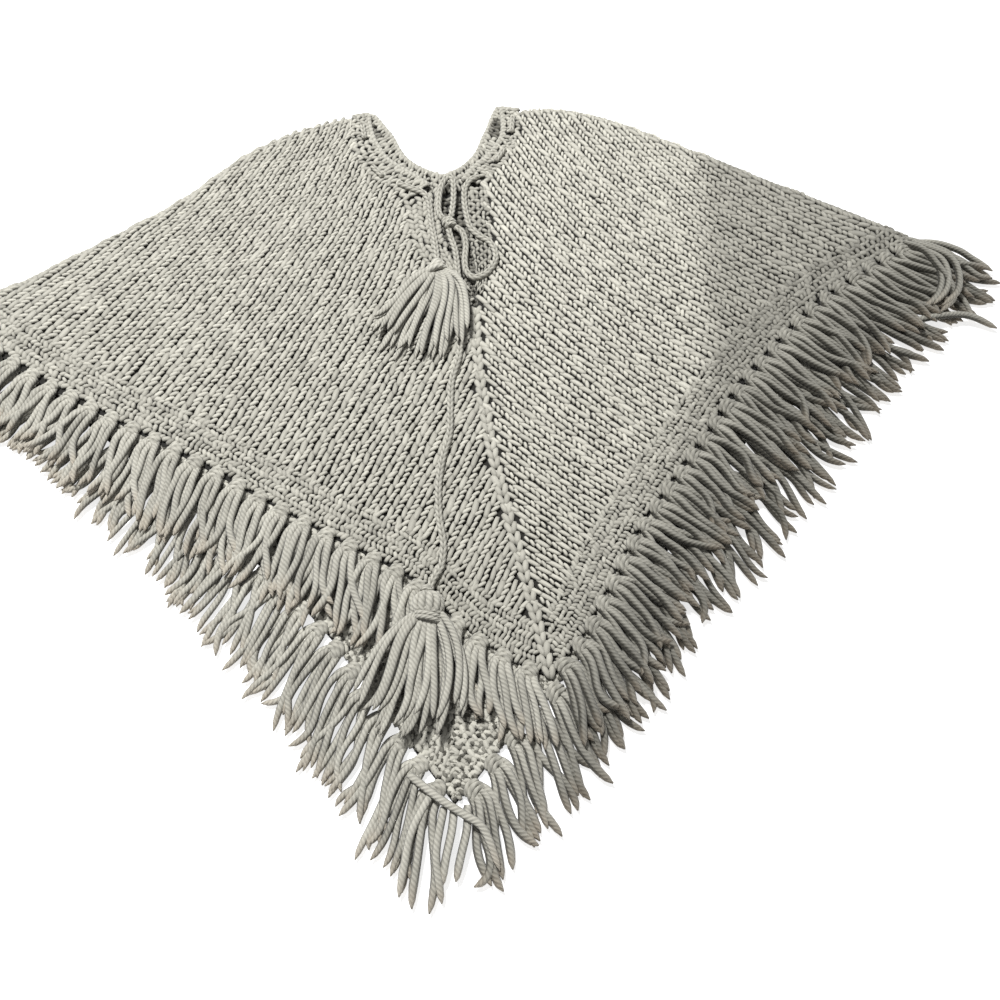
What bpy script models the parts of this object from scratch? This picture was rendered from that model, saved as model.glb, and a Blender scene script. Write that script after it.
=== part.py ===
"""A hand-knitted poncho sweater, laid flat: front on back, neckband, placket, fringe, drawstring.

Metres, +Z up. The garment lies on Z = 0 with its front up. +X runs wing to wing, +Y from the
points of the hem up to the neck, and the origin is under the middle of its bounding box.
"""
import math

import bmesh
import bpy
import numpy as np

MM = 0.001

# ---- driving dimensions ----------------------------------------------------------------------
WALL = 6 * MM            # thickness of the bulky knitted cloth
SEAM = 0.3 * MM          # gap where two pieces meet
RIDGE = 2.5 * MM         # height of the braided centre line above the cloth
RIDGE_HALF = 0.35        # its half width, in knot spaces at the hem
KNOTS = 28               # fringe knots along each half of a hem
SLIT_COLUMNS = 7         # columns of the front's grid, one a knot, that end at the slit
BAND_COLUMNS = 6         # and at the neckband; the others end at a shoulder
PLACKET_WALL = 4.2 * MM  # the placket's edge strips are thinner than the cloth
NECK_LIFT = 6 * MM       # how far the gathered front stands up over the back at the mouth
NECK_SPREAD = 75 * MM
NECK_CENTRE = (-30 * MM, 437 * MM)
EDGE_ROLL = 2.6 * MM     # how far a folded shoulder edge rounds in, above and below

CORD = 8 * MM            # diameter of the braided drawstring
CORD_STEP = 18 * MM      # spacing of the points along a cord
STITCHED = 7.2 * MM      # diameter of the short stretches that show between two eyelets
EYELET = 10 * MM         # diameter of the holes in the neckband
EYELET_SIDES = 8
CUTTER_DEPTH = 60 * MM   # the eyelets' cutters, well past both faces of the band
KNOT_RADIUS = 9 * MM     # the bow's knot
BALL_SIDES = 12          # sides round a knot or a tassel's head, and its rings from pole to pole
BALL_RINGS = 8

STRIP = 8 * MM           # width of the strip of knots outside a hem
LOCK_TOP = 8.6 * MM      # thickness of a lock of two or three plied strands
BACK_LOCK_Z = 4.9 * MM   # height of a lock's middle, beside the floor
FRONT_LOCK_Z = 14.2 * MM # and where it lies on the fringe below
LOCK_STATIONS = ((0.24, 1.00), (0.62, 1.05), (1.00, 0.55))   # fraction of its length, width factor
LOCK_FILL = 0.80         # share of the space between its neighbours that a lock takes
TIP_HEIGHT = 0.60        # thickness at a lock's end, as a share of LOCK_TOP

YARN = (0.44, 0.42, 0.355)
YARN_BACK = (0.40, 0.385, 0.325)
YARN_FRINGE = (0.43, 0.405, 0.345)
YARN_CORD = (0.47, 0.45, 0.385)

# ---- outlines, in millimetres: x, y ----------------------------------------------------------
HEM_FRONT = {
    "left": ((112, -326), (64, -302), (12, -265), (-51, -205), (-137, -156), (-240, -97),
             (-362, -26), (-458, 26), (-552, 79), (-634, 139), (-670, 167)),
    "right": ((112, -326), (152, -276), (190, -201), (232, -128), (295, -38), (378, 79),
              (472, 185), (563, 256), (623, 294)),
}
HEM_BACK = {
    "left": ((6, -466), (-29, -421), (-61, -378), (-112, -311), (-166, -249), (-225, -191),
             (-328, -105), (-465, 7), (-580, 91), (-675, 159)),
    "right": ((6, -466), (29, -439), (63, -396), (123, -329), (193, -245), (263, -156),
              (350, -36), (449, 95), (565, 210), (647, 277)),
}
SHOULDER = {
    "left": ((-169, 542), (-208, 532), (-263, 509), (-325, 467), (-407, 383), (-481, 323),
             (-538, 284), (-585, 249), (-632, 220), (-689, 193)),
    "right": ((84, 559), (131, 564), (183, 553), (250, 527), (314, 494), (378, 459),
              (438, 423), (500, 392), (548, 367), (599, 336), (639, 310)),
}
SPINE = ((112, -326), (96, -252), (68, -137), (45, -36), (28, 81), (23, 134), (22, 190))
SLIT = {
    "left": ((22, 190), (-5, 219), (-47, 262), (-72, 312), (-82, 373)),
    "right": ((22, 190), (36, 229), (44, 292), (37, 402)),
}
PLACKET_EDGE = {
    "left": ((13, 220), (-3, 251), (-24, 307), (-35, 392)),
    "right": ((21, 223), (21, 251), (12, 307), (3, 399)),
}
BAND_OUTER = {
    "left": ((-82, 373), (-101, 399), (-129, 415), (-154, 450), (-168, 497), (-169, 542)),
    "right": ((37, 402), (45, 425), (67, 455), (80, 492), (86, 524), (84, 559)),
}
BAND_INNER = {
    "left": ((-47, 403), (-80, 428), (-111, 455), (-132, 491), (-142, 522), (-144, 548)),
    "right": ((0, 413), (13, 434), (33, 457), (51, 483), (59, 511), (57, 561)),
}
SPINE_BACK = ((6, -466), (3, -293), (-10, -53), (-23, 167), (-30, 395))
BAND_BACK_OUTER = {
    "left": ((-30, 395), (-70, 405), (-108, 435), (-141, 477), (-161, 512), (-169, 542)),
    "right": ((-30, 395), (11, 409), (43, 441), (65, 479), (79, 519), (84, 559)),
}
NECK_EDGE = {
    "left": ((-30, 431), (-61, 445), (-87, 467), (-107, 504), (-121, 527), (-137, 551)),
    "right": ((-30, 431), (0, 448), (22, 477), (33, 512), (41, 542), (51, 567)),
}

# ---- soft folds raised in the front: from x, y, to x, y, half width, height (mm) --------------
FOLDS = (
    (305, 427, 347, 67, 38, 4),
    (-105, 307, -355, 237, 40, 3),
    (-155, 67, -215, -23, 45, 2.5),
    (225, 337, 165, 47, 42, 2.5),
    (-455, 297, -585, 137, 40, 3.5),
    (475, 337, 535, 307, 34, 3),
)

# ---- fringe: share of the way from the point of the hem to the wing, direction (deg), length (mm)
FRINGE_FRONT = {
    "left": ((0.00, -82, 88), (0.13, -88, 95), (0.26, -94, 104), (0.40, -102, 106),
             (0.55, -101, 113), (0.65, -97, 104), (0.73, -113, 92), (0.85, -115, 84),
             (1.00, -132, 80)),
    "right": ((0.00, -72, 90), (0.08, -60, 98), (0.18, -42, 96), (0.32, -41, 98),
              (0.42, -50, 106), (0.55, -50, 122), (0.70, -43, 116), (0.82, -44, 124),
              (0.92, -40, 120), (1.00, -29, 118)),
}
FRINGE_BACK = {
    "left": ((0.00, -100, 112), (0.05, -107, 116), (0.11, -113, 104), (0.18, -117, 118),
             (0.30, -115, 112), (0.40, -115, 106), (0.55, -117, 92), (0.70, -123, 88),
             (0.85, -132, 86), (1.00, -142, 84)),
    "right": ((0.00, -80, 112), (0.06, -75, 108), (0.13, -70, 106), (0.20, -66, 110),
              (0.36, -60, 100), (0.47, -57, 112), (0.60, -52, 124), (0.70, -47, 116),
              (0.85, -43, 108), (1.00, -30, 108)),
}

# ---- drawstring routes (mm): x, y, height above the cloth it lies on ---------------------------
CORD_SHORT = ((-93, 404, 0), (-83, 399, 0), (-70, 392, 0), (-55, 384, 0), (-47, 369, 0),
              (-44, 347, 0), (-41, 325, 0), (-36, 297, 0), (-33, 271, 0.5), (-33, 258.4, 1))
CORD_LONG = ((-17.8, 319.5, 1), (-14, 304, 0), (-7, 279, 0), (-2, 228, 0), (2, 167, 0),
             (1, 108, 0), (-8, 67, 0), (-9, 25, 0), (-9, -12, 0), (-17, -49, 0), (-21, -88, 0),
             (-19, -128, 0), (-13, -165, 0), (-15, -193, 0), (-21, -206, 3), (-26, -219, 6), (-27, -230, 7))
LOOP_SMALL = ((-25.4, 335.6, 2), (-32, 349, 0), (-33, 369, 0), (-30, 395, 0), (-22, 412, 0),
              (-14, 409, 0), (-12, 392, 0), (-12, 367, 0), (-14.4, 339.4, 2))
LOOP_LARGE = ((25, 418, 0), (19, 414, 0), (10, 406, 0), (4, 391, 0), (4, 369, 0), (7, 347, 0),
              (13, 323, 0), (25, 309, 0), (40, 298, 0), (48, 282, 0), (48, 263, 0), (37, 244, 0),
              (20, 235, 0), (9, 245, 0), (6, 265, 0), (7, 292, 0), (2, 314, 0), (-8.9, 323.3, 1.5))
KNOT_AT = (-17, 329, 2)
STITCHED_CORD = {        # short stretches that show between two eyelets: x, y, x, y
    "left_low": (-133, 439, -116, 418),
    "left_high": (-152, 522, -147, 494),
    "right_low": (49, 448, 62, 474),
    "right_high": (72, 507, 74, 538),
}

# ---- tassels (mm): head centre, binding, and the fan of strands from end to end ---------------
TASSELS = {
    "tassel_short": {
        "head": (-32, 246, 10.4), "head_size": (24, 24, 20), "locks": 11, "lift": 0,
        "binding": ((-46, 239.5), (-38, 235.7), (-29, 234.2), (-20, 235.7), (-13, 239.5)),
        "ends": ((-121, 157), (-103, 129), (-75, 111), (-45, 105), (-11, 115), (15, 129)),
    },
    "tassel_long": {
        "head": (-28, -247, 17), "head_size": (36, 33, 25), "locks": 13, "lift": 6.2,
        "binding": ((-49, -254), (-40, -260.2), (-29, -263.9), (-18, -260.2), (-9, -254)),
        "ends": ((-113, -355), (-91, -373), (-63, -385), (-33, -387), (-5, -381), (17, -363)),
    },
}
SKIRT_STRIP = 5 * MM
SKIRT_WALL = 7 * MM


# ---- curves and heights ------------------------------------------------------------------------
def smooth(points, fine=16):
    """A dense Catmull-Rom curve through the points of a table, as an array."""
    knots = np.array(points, float)
    padded = np.vstack([2 * knots[0] - knots[1], knots, 2 * knots[-1] - knots[-2]])
    t = np.linspace(0, 1, fine, endpoint=False)[:, None]
    spans = []
    for a, b, c, d in zip(padded, padded[1:], padded[2:], padded[3:]):
        spans.append(0.5 * (2 * b + (c - a) * t + (2 * a - 5 * b + 4 * c - d) * t ** 2
                            + (3 * b - a - 3 * c + d) * t ** 3))
    return np.vstack(spans + [knots[-1:]])


def at(line, fractions):
    """Points of a polyline at fractions of its length."""
    steps = np.hypot(*np.diff(line[:, :2], axis=0).T)
    length = np.concatenate([[0], np.cumsum(steps)])
    where = np.asarray(fractions) * length[-1]
    return np.stack([np.interp(where, length, column) for column in line.T], axis=1)


def along(table, fractions):
    """Points in metres on the smooth curve through a table in millimetres."""
    return at(smooth(table) * MM, fractions)


def chords(points, shares):
    """Points on the straight lines between a row of points, share 0 at its first, 1 at its last."""
    index = np.asarray(shares) * (len(points) - 1)
    return np.stack([np.interp(index, np.arange(len(points)), column) for column in points.T], axis=1)


def near_segment(x, y, ax, ay, bx, by):
    """Distance from points to a segment."""
    dx, dy = bx - ax, by - ay
    t = np.clip(((x - ax) * dx + (y - ay) * dy) / (dx * dx + dy * dy), 0, 1)
    return np.hypot(x - ax - t * dx, y - ay - t * dy)


def front_rest(x, y):
    """Height of the front's underside: on the back, but for its folds and the gathered neck."""
    x, y = np.asarray(x, float), np.asarray(y, float)
    reach = np.hypot(x - NECK_CENTRE[0], y - NECK_CENTRE[1]) / NECK_SPREAD
    z = WALL + SEAM + NECK_LIFT * np.exp(-reach ** 2)
    for ax, ay, bx, by, width, height in FOLDS:
        gap = near_segment(x, y, ax * MM, ay * MM, bx * MM, by * MM)
        z = z + height * MM * np.exp(-(gap / (width * MM)) ** 2)
    return z


def front_top(x, y):
    return front_rest(x, y) + WALL


def on_floor(x, y):
    return 0.0


# ---- mesh helpers ------------------------------------------------------------------------------
def collection(name):
    group = bpy.data.collections.new(name)
    bpy.context.scene.collection.children.link(group)
    return group


def material(name, colour, roughness=0.9):
    made = bpy.data.materials.new(name)
    made.use_nodes = True
    shader = made.node_tree.nodes["Principled BSDF"]
    shader.inputs["Base Color"].default_value = (*colour, 1)
    shader.inputs["Roughness"].default_value = roughness
    shader.inputs["Metallic"].default_value = 0
    return made


def add(name, mesh, group, colour):
    mesh.materials.append(material(name, colour))
    thing = bpy.data.objects.new(name, mesh)
    group.objects.link(thing)
    return thing


def finish(bm, name):
    bmesh.ops.recalc_face_normals(bm, faces=bm.faces[:])
    mesh = bpy.data.meshes.new(name)
    bm.to_mesh(mesh)
    bm.free()
    return mesh


def slab(columns, rows):
    """A closed slab over a grid. Vertex x is a column, y a row and z a level, 0 below or 1 above."""
    bm = bmesh.new()
    bmesh.ops.create_grid(bm, x_segments=columns, y_segments=rows, size=0.5)
    for vert in bm.verts:
        vert.co = (round((vert.co.x + 0.5) * columns), round((vert.co.y + 0.5) * rows), 0)
    upper = bmesh.ops.extrude_face_region(bm, geom=bm.faces[:])
    for item in upper["geom"]:
        if isinstance(item, bmesh.types.BMVert):
            item.co.z = 1
    return bm


def coons(hem, top, inner, outer, across, up):
    """Grid of points between four edges; across and up are the fractions of its columns and rows."""
    u = np.asarray(across)[None, :, None]
    v = np.asarray(up)[:, None, None]
    ruled = (1 - v) * hem[None] + v * top[None] + (1 - u) * inner[:, None] + u * outer[:, None]
    corners = ((1 - u) * (1 - v) * hem[0] + u * (1 - v) * hem[-1]
               + (1 - u) * v * top[0] + u * v * top[-1])
    return ruled - corners


def ruled_strip(name, one, other, rows, bottom, thickness, group, colour):
    """A strip of cloth between two polylines of equally many points."""
    bm = slab(len(one) - 1, len(rows) - 1)
    for vert in bm.verts:
        column, row, level = (round(value) for value in vert.co)
        x, y = one[column] + (other[column] - one[column]) * rows[row]
        vert.co = (x, y, bottom(x, y) + level * thickness)
    return add(name, finish(bm, name), group, colour)


# ---- the two panels ----------------------------------------------------------------------------
KNOT_SHARES = np.arange(KNOTS + 1) / KNOTS
SLIT_SHARES = np.arange(SLIT_COLUMNS + 1) / SLIT_COLUMNS
BAND_SHARES = np.arange(BAND_COLUMNS + 1) / BAND_COLUMNS
ACROSS = np.concatenate([[0, RIDGE_HALF / KNOTS], KNOT_SHARES[1:]])
EDGE_ROW = 0.975                      # the last row but one, where a shoulder begins to round in
ROLL_AT_EDGE_ROW = 0.22
UP_FRONT = np.append(np.linspace(0, EDGE_ROW, 11), 1.0)
UP_BACK = np.append(np.linspace(0, EDGE_ROW, 8), 1.0)


def top_edge(*stretches):
    """A half's upper edge from the middle out: its tables, and how many columns end at each."""
    points = [along(table, np.arange(columns + 1) / columns) for table, columns in stretches]
    whole = np.vstack([points[0]] + [stretch[1:] for stretch in points[1:]])
    return chords(whole, ACROSS)


def half_grid(hem_table, top, inner, up):
    """Points of half a panel, from its hem, straight from knot to knot, to its upper edge."""
    hem = chords(along(hem_table, KNOT_SHARES), ACROSS)
    outer = at(np.vstack([hem[-1], top[-1]]), up)
    return coons(hem, top, inner, outer, ACROSS, up)


def front_half(side):
    shoulder_columns = KNOTS - SLIT_COLUMNS - BAND_COLUMNS
    top = top_edge((SLIT[side], SLIT_COLUMNS), (BAND_OUTER[side], BAND_COLUMNS),
                   (SHOULDER[side], shoulder_columns))
    return half_grid(HEM_FRONT[side], top, along(SPINE, UP_FRONT), UP_FRONT)


def back_half(side):
    top = top_edge((BAND_BACK_OUTER[side], BAND_COLUMNS), (SHOULDER[side], KNOTS - BAND_COLUMNS))
    return half_grid(HEM_BACK[side], top, along(SPINE_BACK, UP_BACK), UP_BACK)


def panel(name, half, up, bottom, rolled_level, flat_columns, ridge, group, colour):
    """A panel of two halves that meet at the centre line.

    Past flat_columns its upper edge is a shoulder, which rounds in at rolled_level.
    """
    halves = {side: half(side) for side in ("left", "right")}
    middle = len(ACROSS) - 1
    bm = slab(2 * middle, len(up) - 1)
    roll = {len(up) - 1: EDGE_ROLL, len(up) - 2: EDGE_ROLL * ROLL_AT_EDGE_ROW}
    for vert in bm.verts:
        column, row, level = (round(value) for value in vert.co)
        side = "left" if column < middle else "right"
        out = abs(column - middle)
        x, y = halves[side][row, out]
        z = bottom(x, y) + level * WALL
        if level == rolled_level and out > flat_columns + 1:
            z += roll.get(row, 0) * (-1 if level else 1)
        if level == 1 and out == 0 and 0 < row < len(up) - 1:
            z += ridge
        vert.co = (x, y, z)
    return add(name, finish(bm, name), group, colour)


# ---- neckband and placket ------------------------------------------------------------------------
def band_rows(one, other):
    """Rows across a band, the first one a seam's gap away from the panel."""
    width = float(np.hypot(*(other - one).T).min())
    return (SEAM / width, 0.5, 1.0)


def neckbands(group):
    for side in ("left", "right"):
        outer = along(BAND_OUTER[side], BAND_SHARES)
        inner = along(BAND_INNER[side], BAND_SHARES)
        band = ruled_strip("neckband_front_" + side, outer, inner, band_rows(outer, inner),
                           front_rest, WALL, group, YARN)
        punch_eyelets(band, side)
    outer = np.vstack([along(BAND_BACK_OUTER["left"], BAND_SHARES)[::-1],
                       along(BAND_BACK_OUTER["right"], BAND_SHARES)[1:]])
    inner = np.vstack([along(NECK_EDGE["left"], BAND_SHARES)[::-1],
                       along(NECK_EDGE["right"], BAND_SHARES)[1:]])
    ruled_strip("neckband_back", outer, inner, band_rows(outer, inner), on_floor, WALL, group,
                YARN_BACK)


def eyelets(side):
    """Centres of the holes through one half of the front neckband, in millimetres."""
    holes = [(CORD_SHORT if side == "left" else LOOP_LARGE)[0][:2]]
    for name, (ax, ay, bx, by) in STITCHED_CORD.items():
        if name.startswith(side):
            holes += [(ax, ay), (bx, by)]
    return holes


def punch_eyelets(band, side):
    cutter_bm = bmesh.new()
    for x, y in eyelets(side):
        made = bmesh.ops.create_cone(cutter_bm, cap_ends=True, segments=EYELET_SIDES,
                                     depth=CUTTER_DEPTH, radius1=EYELET / 2, radius2=EYELET / 2)
        bmesh.ops.translate(cutter_bm, verts=made["verts"], vec=(x * MM, y * MM, WALL))
    name = "cut_eyelets_" + side
    cutter = bpy.data.objects.new(name, finish(cutter_bm, name))
    bpy.data.collections["cutters"].objects.link(cutter)
    cutter.hide_render = True
    cutter.display_type = "WIRE"
    cut = band.modifiers.new("eyelets", "BOOLEAN")
    cut.operation = "DIFFERENCE"
    cut.object = cutter


PLACKET_START = 0.5                   # where a placket begins, as a share of the slit's lowest column


def plackets(group):
    for side in ("left", "right"):
        slit = along(SLIT[side], SLIT_SHARES)
        panel_edge = np.vstack([slit[0] + PLACKET_START * (slit[1] - slit[0]), slit[1:]])
        free_edge = along(PLACKET_EDGE[side], SLIT_SHARES)
        ruled_strip("placket_" + side, panel_edge, free_edge, band_rows(panel_edge, free_edge),
                    front_rest, PLACKET_WALL, group, YARN)


# ---- fringe and tassels --------------------------------------------------------------------------
def comb(name, edge, is_lock, outward, ends, strip, bottom, wall, lock_z, group, colour):
    """A strip along an edge, with locks grown out of the columns that is_lock marks.

    edge holds the strip's column boundaries and outward the unit vectors away from the cloth.
    ends has one point a column, where its lock ends.
    """
    count = len(is_lock)
    bm = slab(count, 1)
    lock_of = bm.faces.layers.int.new("lock")
    for face in bm.faces:
        centre = face.calc_center_median()
        grows = abs(centre.y - 1) < 1e-6 and is_lock[int(centre.x)]
        face[lock_of] = int(centre.x) + 1 if grows else 0
    for vert in bm.verts:
        column, row, level = (round(value) for value in vert.co)
        x, y = edge[column] + outward[column] * (strip if row else SEAM)
        vert.co = (x, y, bottom(*edge[column]) + level * wall)
    bmesh.ops.recalc_face_normals(bm, faces=bm.faces[:])
    roots = edge + outward * strip
    middles = (roots[1:] + roots[:-1]) / 2
    root_width = np.hypot(*(roots[1:] - roots[:-1]).T)
    spread = np.hypot(*np.gradient(ends, axis=0).T)
    for share, factor in LOCK_STATIONS:
        growing = [face for face in bm.faces if face[lock_of]]
        grown = bmesh.ops.extrude_discrete_faces(bm, faces=growing)["faces"]
        for face in bm.faces:
            if face not in grown:
                face[lock_of] = 0
        for face in grown:
            lock = face[lock_of] - 1
            way = ends[lock] - middles[lock]
            facing = way / np.hypot(*way)
            lateral = np.array([-facing[1], facing[0]])
            skew = abs(facing @ (outward[lock] + outward[lock + 1]) / 2)
            width = root_width[lock] * skew * (1 - share) + spread[lock] * skew * share
            width *= LOCK_FILL * factor
            height = LOCK_TOP * (TIP_HEIGHT if share == 1 else 1)
            centre = face.calc_center_median()
            x, y = middles[lock] + way * share
            z = lock_z(x, y, share)
            for vert in face.verts:
                offset = vert.co - centre
                across = math.copysign(width / 2, offset.x * lateral[0] + offset.y * lateral[1])
                vert.co = (x + across * lateral[0], y + across * lateral[1],
                           z + math.copysign(height / 2, offset.z))
    bm.faces.layers.int.remove(lock_of)
    return add(name, finish(bm, name), group, colour)


TIP_CLEAR = 0.2                       # a fringe begins this many knot spaces from the point
KNOT_PATTERN = ((0.41, False), (0.70, True), (1.0, True))  # where a column ends, whether it is a lock
UNEVEN = 0.06                         # how much the locks differ in length
UNEVEN_TURN = 2.3                     # radians from one lock to the next


def outward_normals(line):
    """Unit normals of a polyline, 90 degrees clockwise from its direction."""
    way = np.gradient(line, axis=0)
    way /= np.hypot(*way.T)[:, None]
    return np.stack([way[:, 1], -way[:, 0]], axis=1)


def fringe(layer, side, hem_table, fringe_table, bottom, lock_z, group):
    hem = along(hem_table, KNOT_SHARES)
    shares = [TIP_CLEAR / KNOTS]
    is_lock = []
    for knot in range(KNOTS):
        for stop, grows in KNOT_PATTERN:
            shares.append((knot + stop) / KNOTS)
            is_lock.append(grows)
    edge = chords(hem, shares)
    sign = 1 if side == "right" else -1
    outward = outward_normals(edge) * sign
    middle = (np.array(shares[1:]) + np.array(shares[:-1])) / 2
    place, angle, length = np.array(fringe_table).T
    heading = np.radians(np.interp(middle, place, angle))
    uneven = 1 + UNEVEN * np.sin(UNEVEN_TURN * np.arange(len(middle)))
    reach = np.interp(middle, place, length) * MM * uneven
    ends = (edge[1:] + edge[:-1]) / 2
    ends = ends + np.stack([np.cos(heading), np.sin(heading)], axis=1) * reach[:, None]
    comb("fringe_%s_%s" % (layer, side), edge, is_lock, outward, ends, STRIP, bottom, WALL,
         lock_z, group, YARN_FRINGE)


def front_lock_z(x, y, share):
    return FRONT_LOCK_Z


def back_lock_z(x, y, share):
    return BACK_LOCK_Z - (LOCK_TOP * (1 - TIP_HEIGHT) / 2 if share == 1 else 0)


def fringes(group):
    for side in ("left", "right"):
        fringe("front", side, HEM_FRONT[side], FRINGE_FRONT[side], front_rest, front_lock_z, group)
        fringe("back", side, HEM_BACK[side], FRINGE_BACK[side], on_floor, back_lock_z, group)


OVER_CORD_REACH = 18 * MM


def over_cord(x, y):
    """Extra height where a tassel's strands cross the long end of the drawstring."""
    line = smooth(CORD_LONG)[:, :2] * MM
    gap = np.hypot(line[:, 0] - x, line[:, 1] - y).min()
    return (CORD + SEAM) * float(np.exp(-(gap / OVER_CORD_REACH) ** 4))


def tassel(name, sizes, group):
    count = sizes["locks"]
    edge = along(sizes["binding"], np.arange(count + 1) / count)
    outward = outward_normals(edge)
    ends = along(sizes["ends"], (np.arange(count) + 0.5) / count)
    lift = sizes["lift"] * MM
    clear = WALL + SEAM + lift

    def bottom(x, y):
        return front_rest(*edge.mean(axis=0)) + clear

    def lock_z(x, y, share):
        return front_rest(x, y) + clear + LOCK_TOP / 2 + over_cord(x, y)

    comb(name + "_skirt", edge, [True] * count, outward, ends, SKIRT_STRIP, bottom, SKIRT_WALL,
         lock_z, group, YARN_CORD)
    x, y, z = (value * MM for value in sizes["head"])
    bm = bmesh.new()
    bmesh.ops.create_uvsphere(bm, u_segments=BALL_SIDES, v_segments=BALL_RINGS, radius=0.5)
    bmesh.ops.scale(bm, verts=bm.verts[:], vec=[value * MM for value in sizes["head_size"]])
    bmesh.ops.translate(bm, verts=bm.verts[:], vec=(x, y, front_top(x, y) + z))
    add(name + "_head", finish(bm, name + "_head"), group, YARN_CORD)


# ---- drawstring ----------------------------------------------------------------------------------
def cord(name, route, group, diameter=CORD):
    """A cord of the drawstring, laid on the front along a route."""
    dense = smooth(route) * MM
    length = float(np.hypot(*np.diff(dense[:, :2], axis=0).T).sum())
    steps = max(4, round(length / CORD_STEP))
    points = at(dense, np.arange(steps + 1) / steps)
    curve = bpy.data.curves.new(name, "CURVE")
    curve.dimensions = "3D"
    curve.bevel_depth = diameter / 2
    curve.bevel_resolution = 2
    curve.use_fill_caps = True
    spline = curve.splines.new("POLY")
    spline.points.add(len(points) - 1)
    for point, (x, y, lift) in zip(spline.points, points):
        point.co = (x, y, front_top(x, y) + SEAM + diameter / 2 + lift, 1)
    curve.materials.append(material(name, YARN_CORD))
    thing = bpy.data.objects.new(name, curve)
    group.objects.link(thing)
    return thing


def drawstring(group):
    cord("cord_short", CORD_SHORT, group)
    cord("cord_long", CORD_LONG, group)
    cord("bow_loop_small", LOOP_SMALL, group)
    cord("bow_loop_large", LOOP_LARGE, group)
    for name, (ax, ay, bx, by) in STITCHED_CORD.items():
        cord("drawstring_" + name, ((ax, ay, 0), (bx, by, 0)), group, STITCHED)
    x, y, lift = (value * MM for value in KNOT_AT)
    bm = bmesh.new()
    bmesh.ops.create_uvsphere(bm, u_segments=BALL_SIDES, v_segments=BALL_RINGS, radius=KNOT_RADIUS)
    bmesh.ops.translate(bm, verts=bm.verts[:],
                        vec=(x, y, front_top(x, y) + SEAM + CORD / 2 + lift))
    add("bow_knot", finish(bm, "bow_knot"), group, YARN_CORD)


def main():
    for thing in list(bpy.data.objects):
        bpy.data.objects.remove(thing)
    poncho = collection("knitted_poncho")
    collection("cutters")
    panel("back_panel", back_half, UP_BACK, on_floor, 0, BAND_COLUMNS, 0, poncho, YARN_BACK)
    panel("front_panel", front_half, UP_FRONT, front_rest, 1, SLIT_COLUMNS + BAND_COLUMNS, RIDGE,
          poncho, YARN)
    neckbands(poncho)
    plackets(poncho)
    fringes(poncho)
    drawstring(poncho)
    for name, sizes in TASSELS.items():
        tassel(name, sizes, poncho)


main()
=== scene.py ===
"""Looks of a hand-knitted poncho sweater laid flat: stitches, fringe, drawstring and tassels.

Metres, +Z up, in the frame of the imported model. Tables of outlines and routes are in millimetres.
"""
import math

import bpy
import numpy as np
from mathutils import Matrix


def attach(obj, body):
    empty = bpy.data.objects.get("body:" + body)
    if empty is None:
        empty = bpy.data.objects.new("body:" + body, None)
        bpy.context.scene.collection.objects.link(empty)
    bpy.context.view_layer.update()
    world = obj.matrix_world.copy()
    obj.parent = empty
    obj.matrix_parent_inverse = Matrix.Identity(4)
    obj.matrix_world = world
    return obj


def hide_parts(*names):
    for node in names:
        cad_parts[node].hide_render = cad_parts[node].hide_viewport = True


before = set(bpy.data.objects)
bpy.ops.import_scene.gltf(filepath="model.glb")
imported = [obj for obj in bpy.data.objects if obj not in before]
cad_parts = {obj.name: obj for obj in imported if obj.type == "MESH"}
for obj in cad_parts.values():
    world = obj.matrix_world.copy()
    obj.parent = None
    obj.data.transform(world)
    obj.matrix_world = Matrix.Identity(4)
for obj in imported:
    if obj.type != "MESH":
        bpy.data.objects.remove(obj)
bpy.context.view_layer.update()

MM = 0.001
RNG = np.random.default_rng(7)
SIDES = ("left", "right")

# ---- sizes shared with the solids ----
WALL = 6 * MM
SEAM = 0.3 * MM
KNOTS = 28               # fringe knots along each half of a hem
NECK_LIFT = 6 * MM
NECK_SPREAD = 75 * MM
NECK_CENTRE = (-30 * MM, 437 * MM)
CORD = 8 * MM
STITCHED = 7.2 * MM
KNOT_AT = (-17, 329, 2)
STRIP = 8 * MM           # width of the row of knots outside a hem

HEM_FRONT = {
    "left": ((112, -326), (64, -302), (12, -265), (-51, -205), (-137, -156), (-240, -97),
             (-362, -26), (-458, 26), (-552, 79), (-634, 139), (-670, 167)),
    "right": ((112, -326), (152, -276), (190, -201), (232, -128), (295, -38), (378, 79),
              (472, 185), (563, 256), (623, 294)),
}
HEM_BACK = {
    "left": ((6, -466), (-29, -421), (-61, -378), (-112, -311), (-166, -249), (-225, -191),
             (-328, -105), (-465, 7), (-580, 91), (-675, 159)),
    "right": ((6, -466), (29, -439), (63, -396), (123, -329), (193, -245), (263, -156),
              (350, -36), (449, 95), (565, 210), (647, 277)),
}
SHOULDER = {
    "left": ((-169, 542), (-208, 532), (-263, 509), (-325, 467), (-407, 383), (-481, 323),
             (-538, 284), (-585, 249), (-632, 220), (-689, 193)),
    "right": ((84, 559), (131, 564), (183, 553), (250, 527), (314, 494), (378, 459),
              (438, 423), (500, 392), (548, 367), (599, 336), (639, 310)),
}
SPINE = ((112, -326), (96, -252), (68, -137), (45, -36), (28, 81), (23, 134), (22, 190))
SLIT = {
    "left": ((22, 190), (-5, 219), (-47, 262), (-72, 312), (-82, 373)),
    "right": ((22, 190), (36, 229), (44, 292), (37, 402)),
}
PLACKET_EDGE = {
    "left": ((13, 220), (-3, 251), (-24, 307), (-35, 392)),
    "right": ((21, 223), (21, 251), (12, 307), (3, 399)),
}
BAND_OUTER = {
    "left": ((-82, 373), (-101, 399), (-129, 415), (-154, 450), (-168, 497), (-169, 542)),
    "right": ((37, 402), (45, 425), (67, 455), (80, 492), (86, 524), (84, 559)),
}
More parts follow.
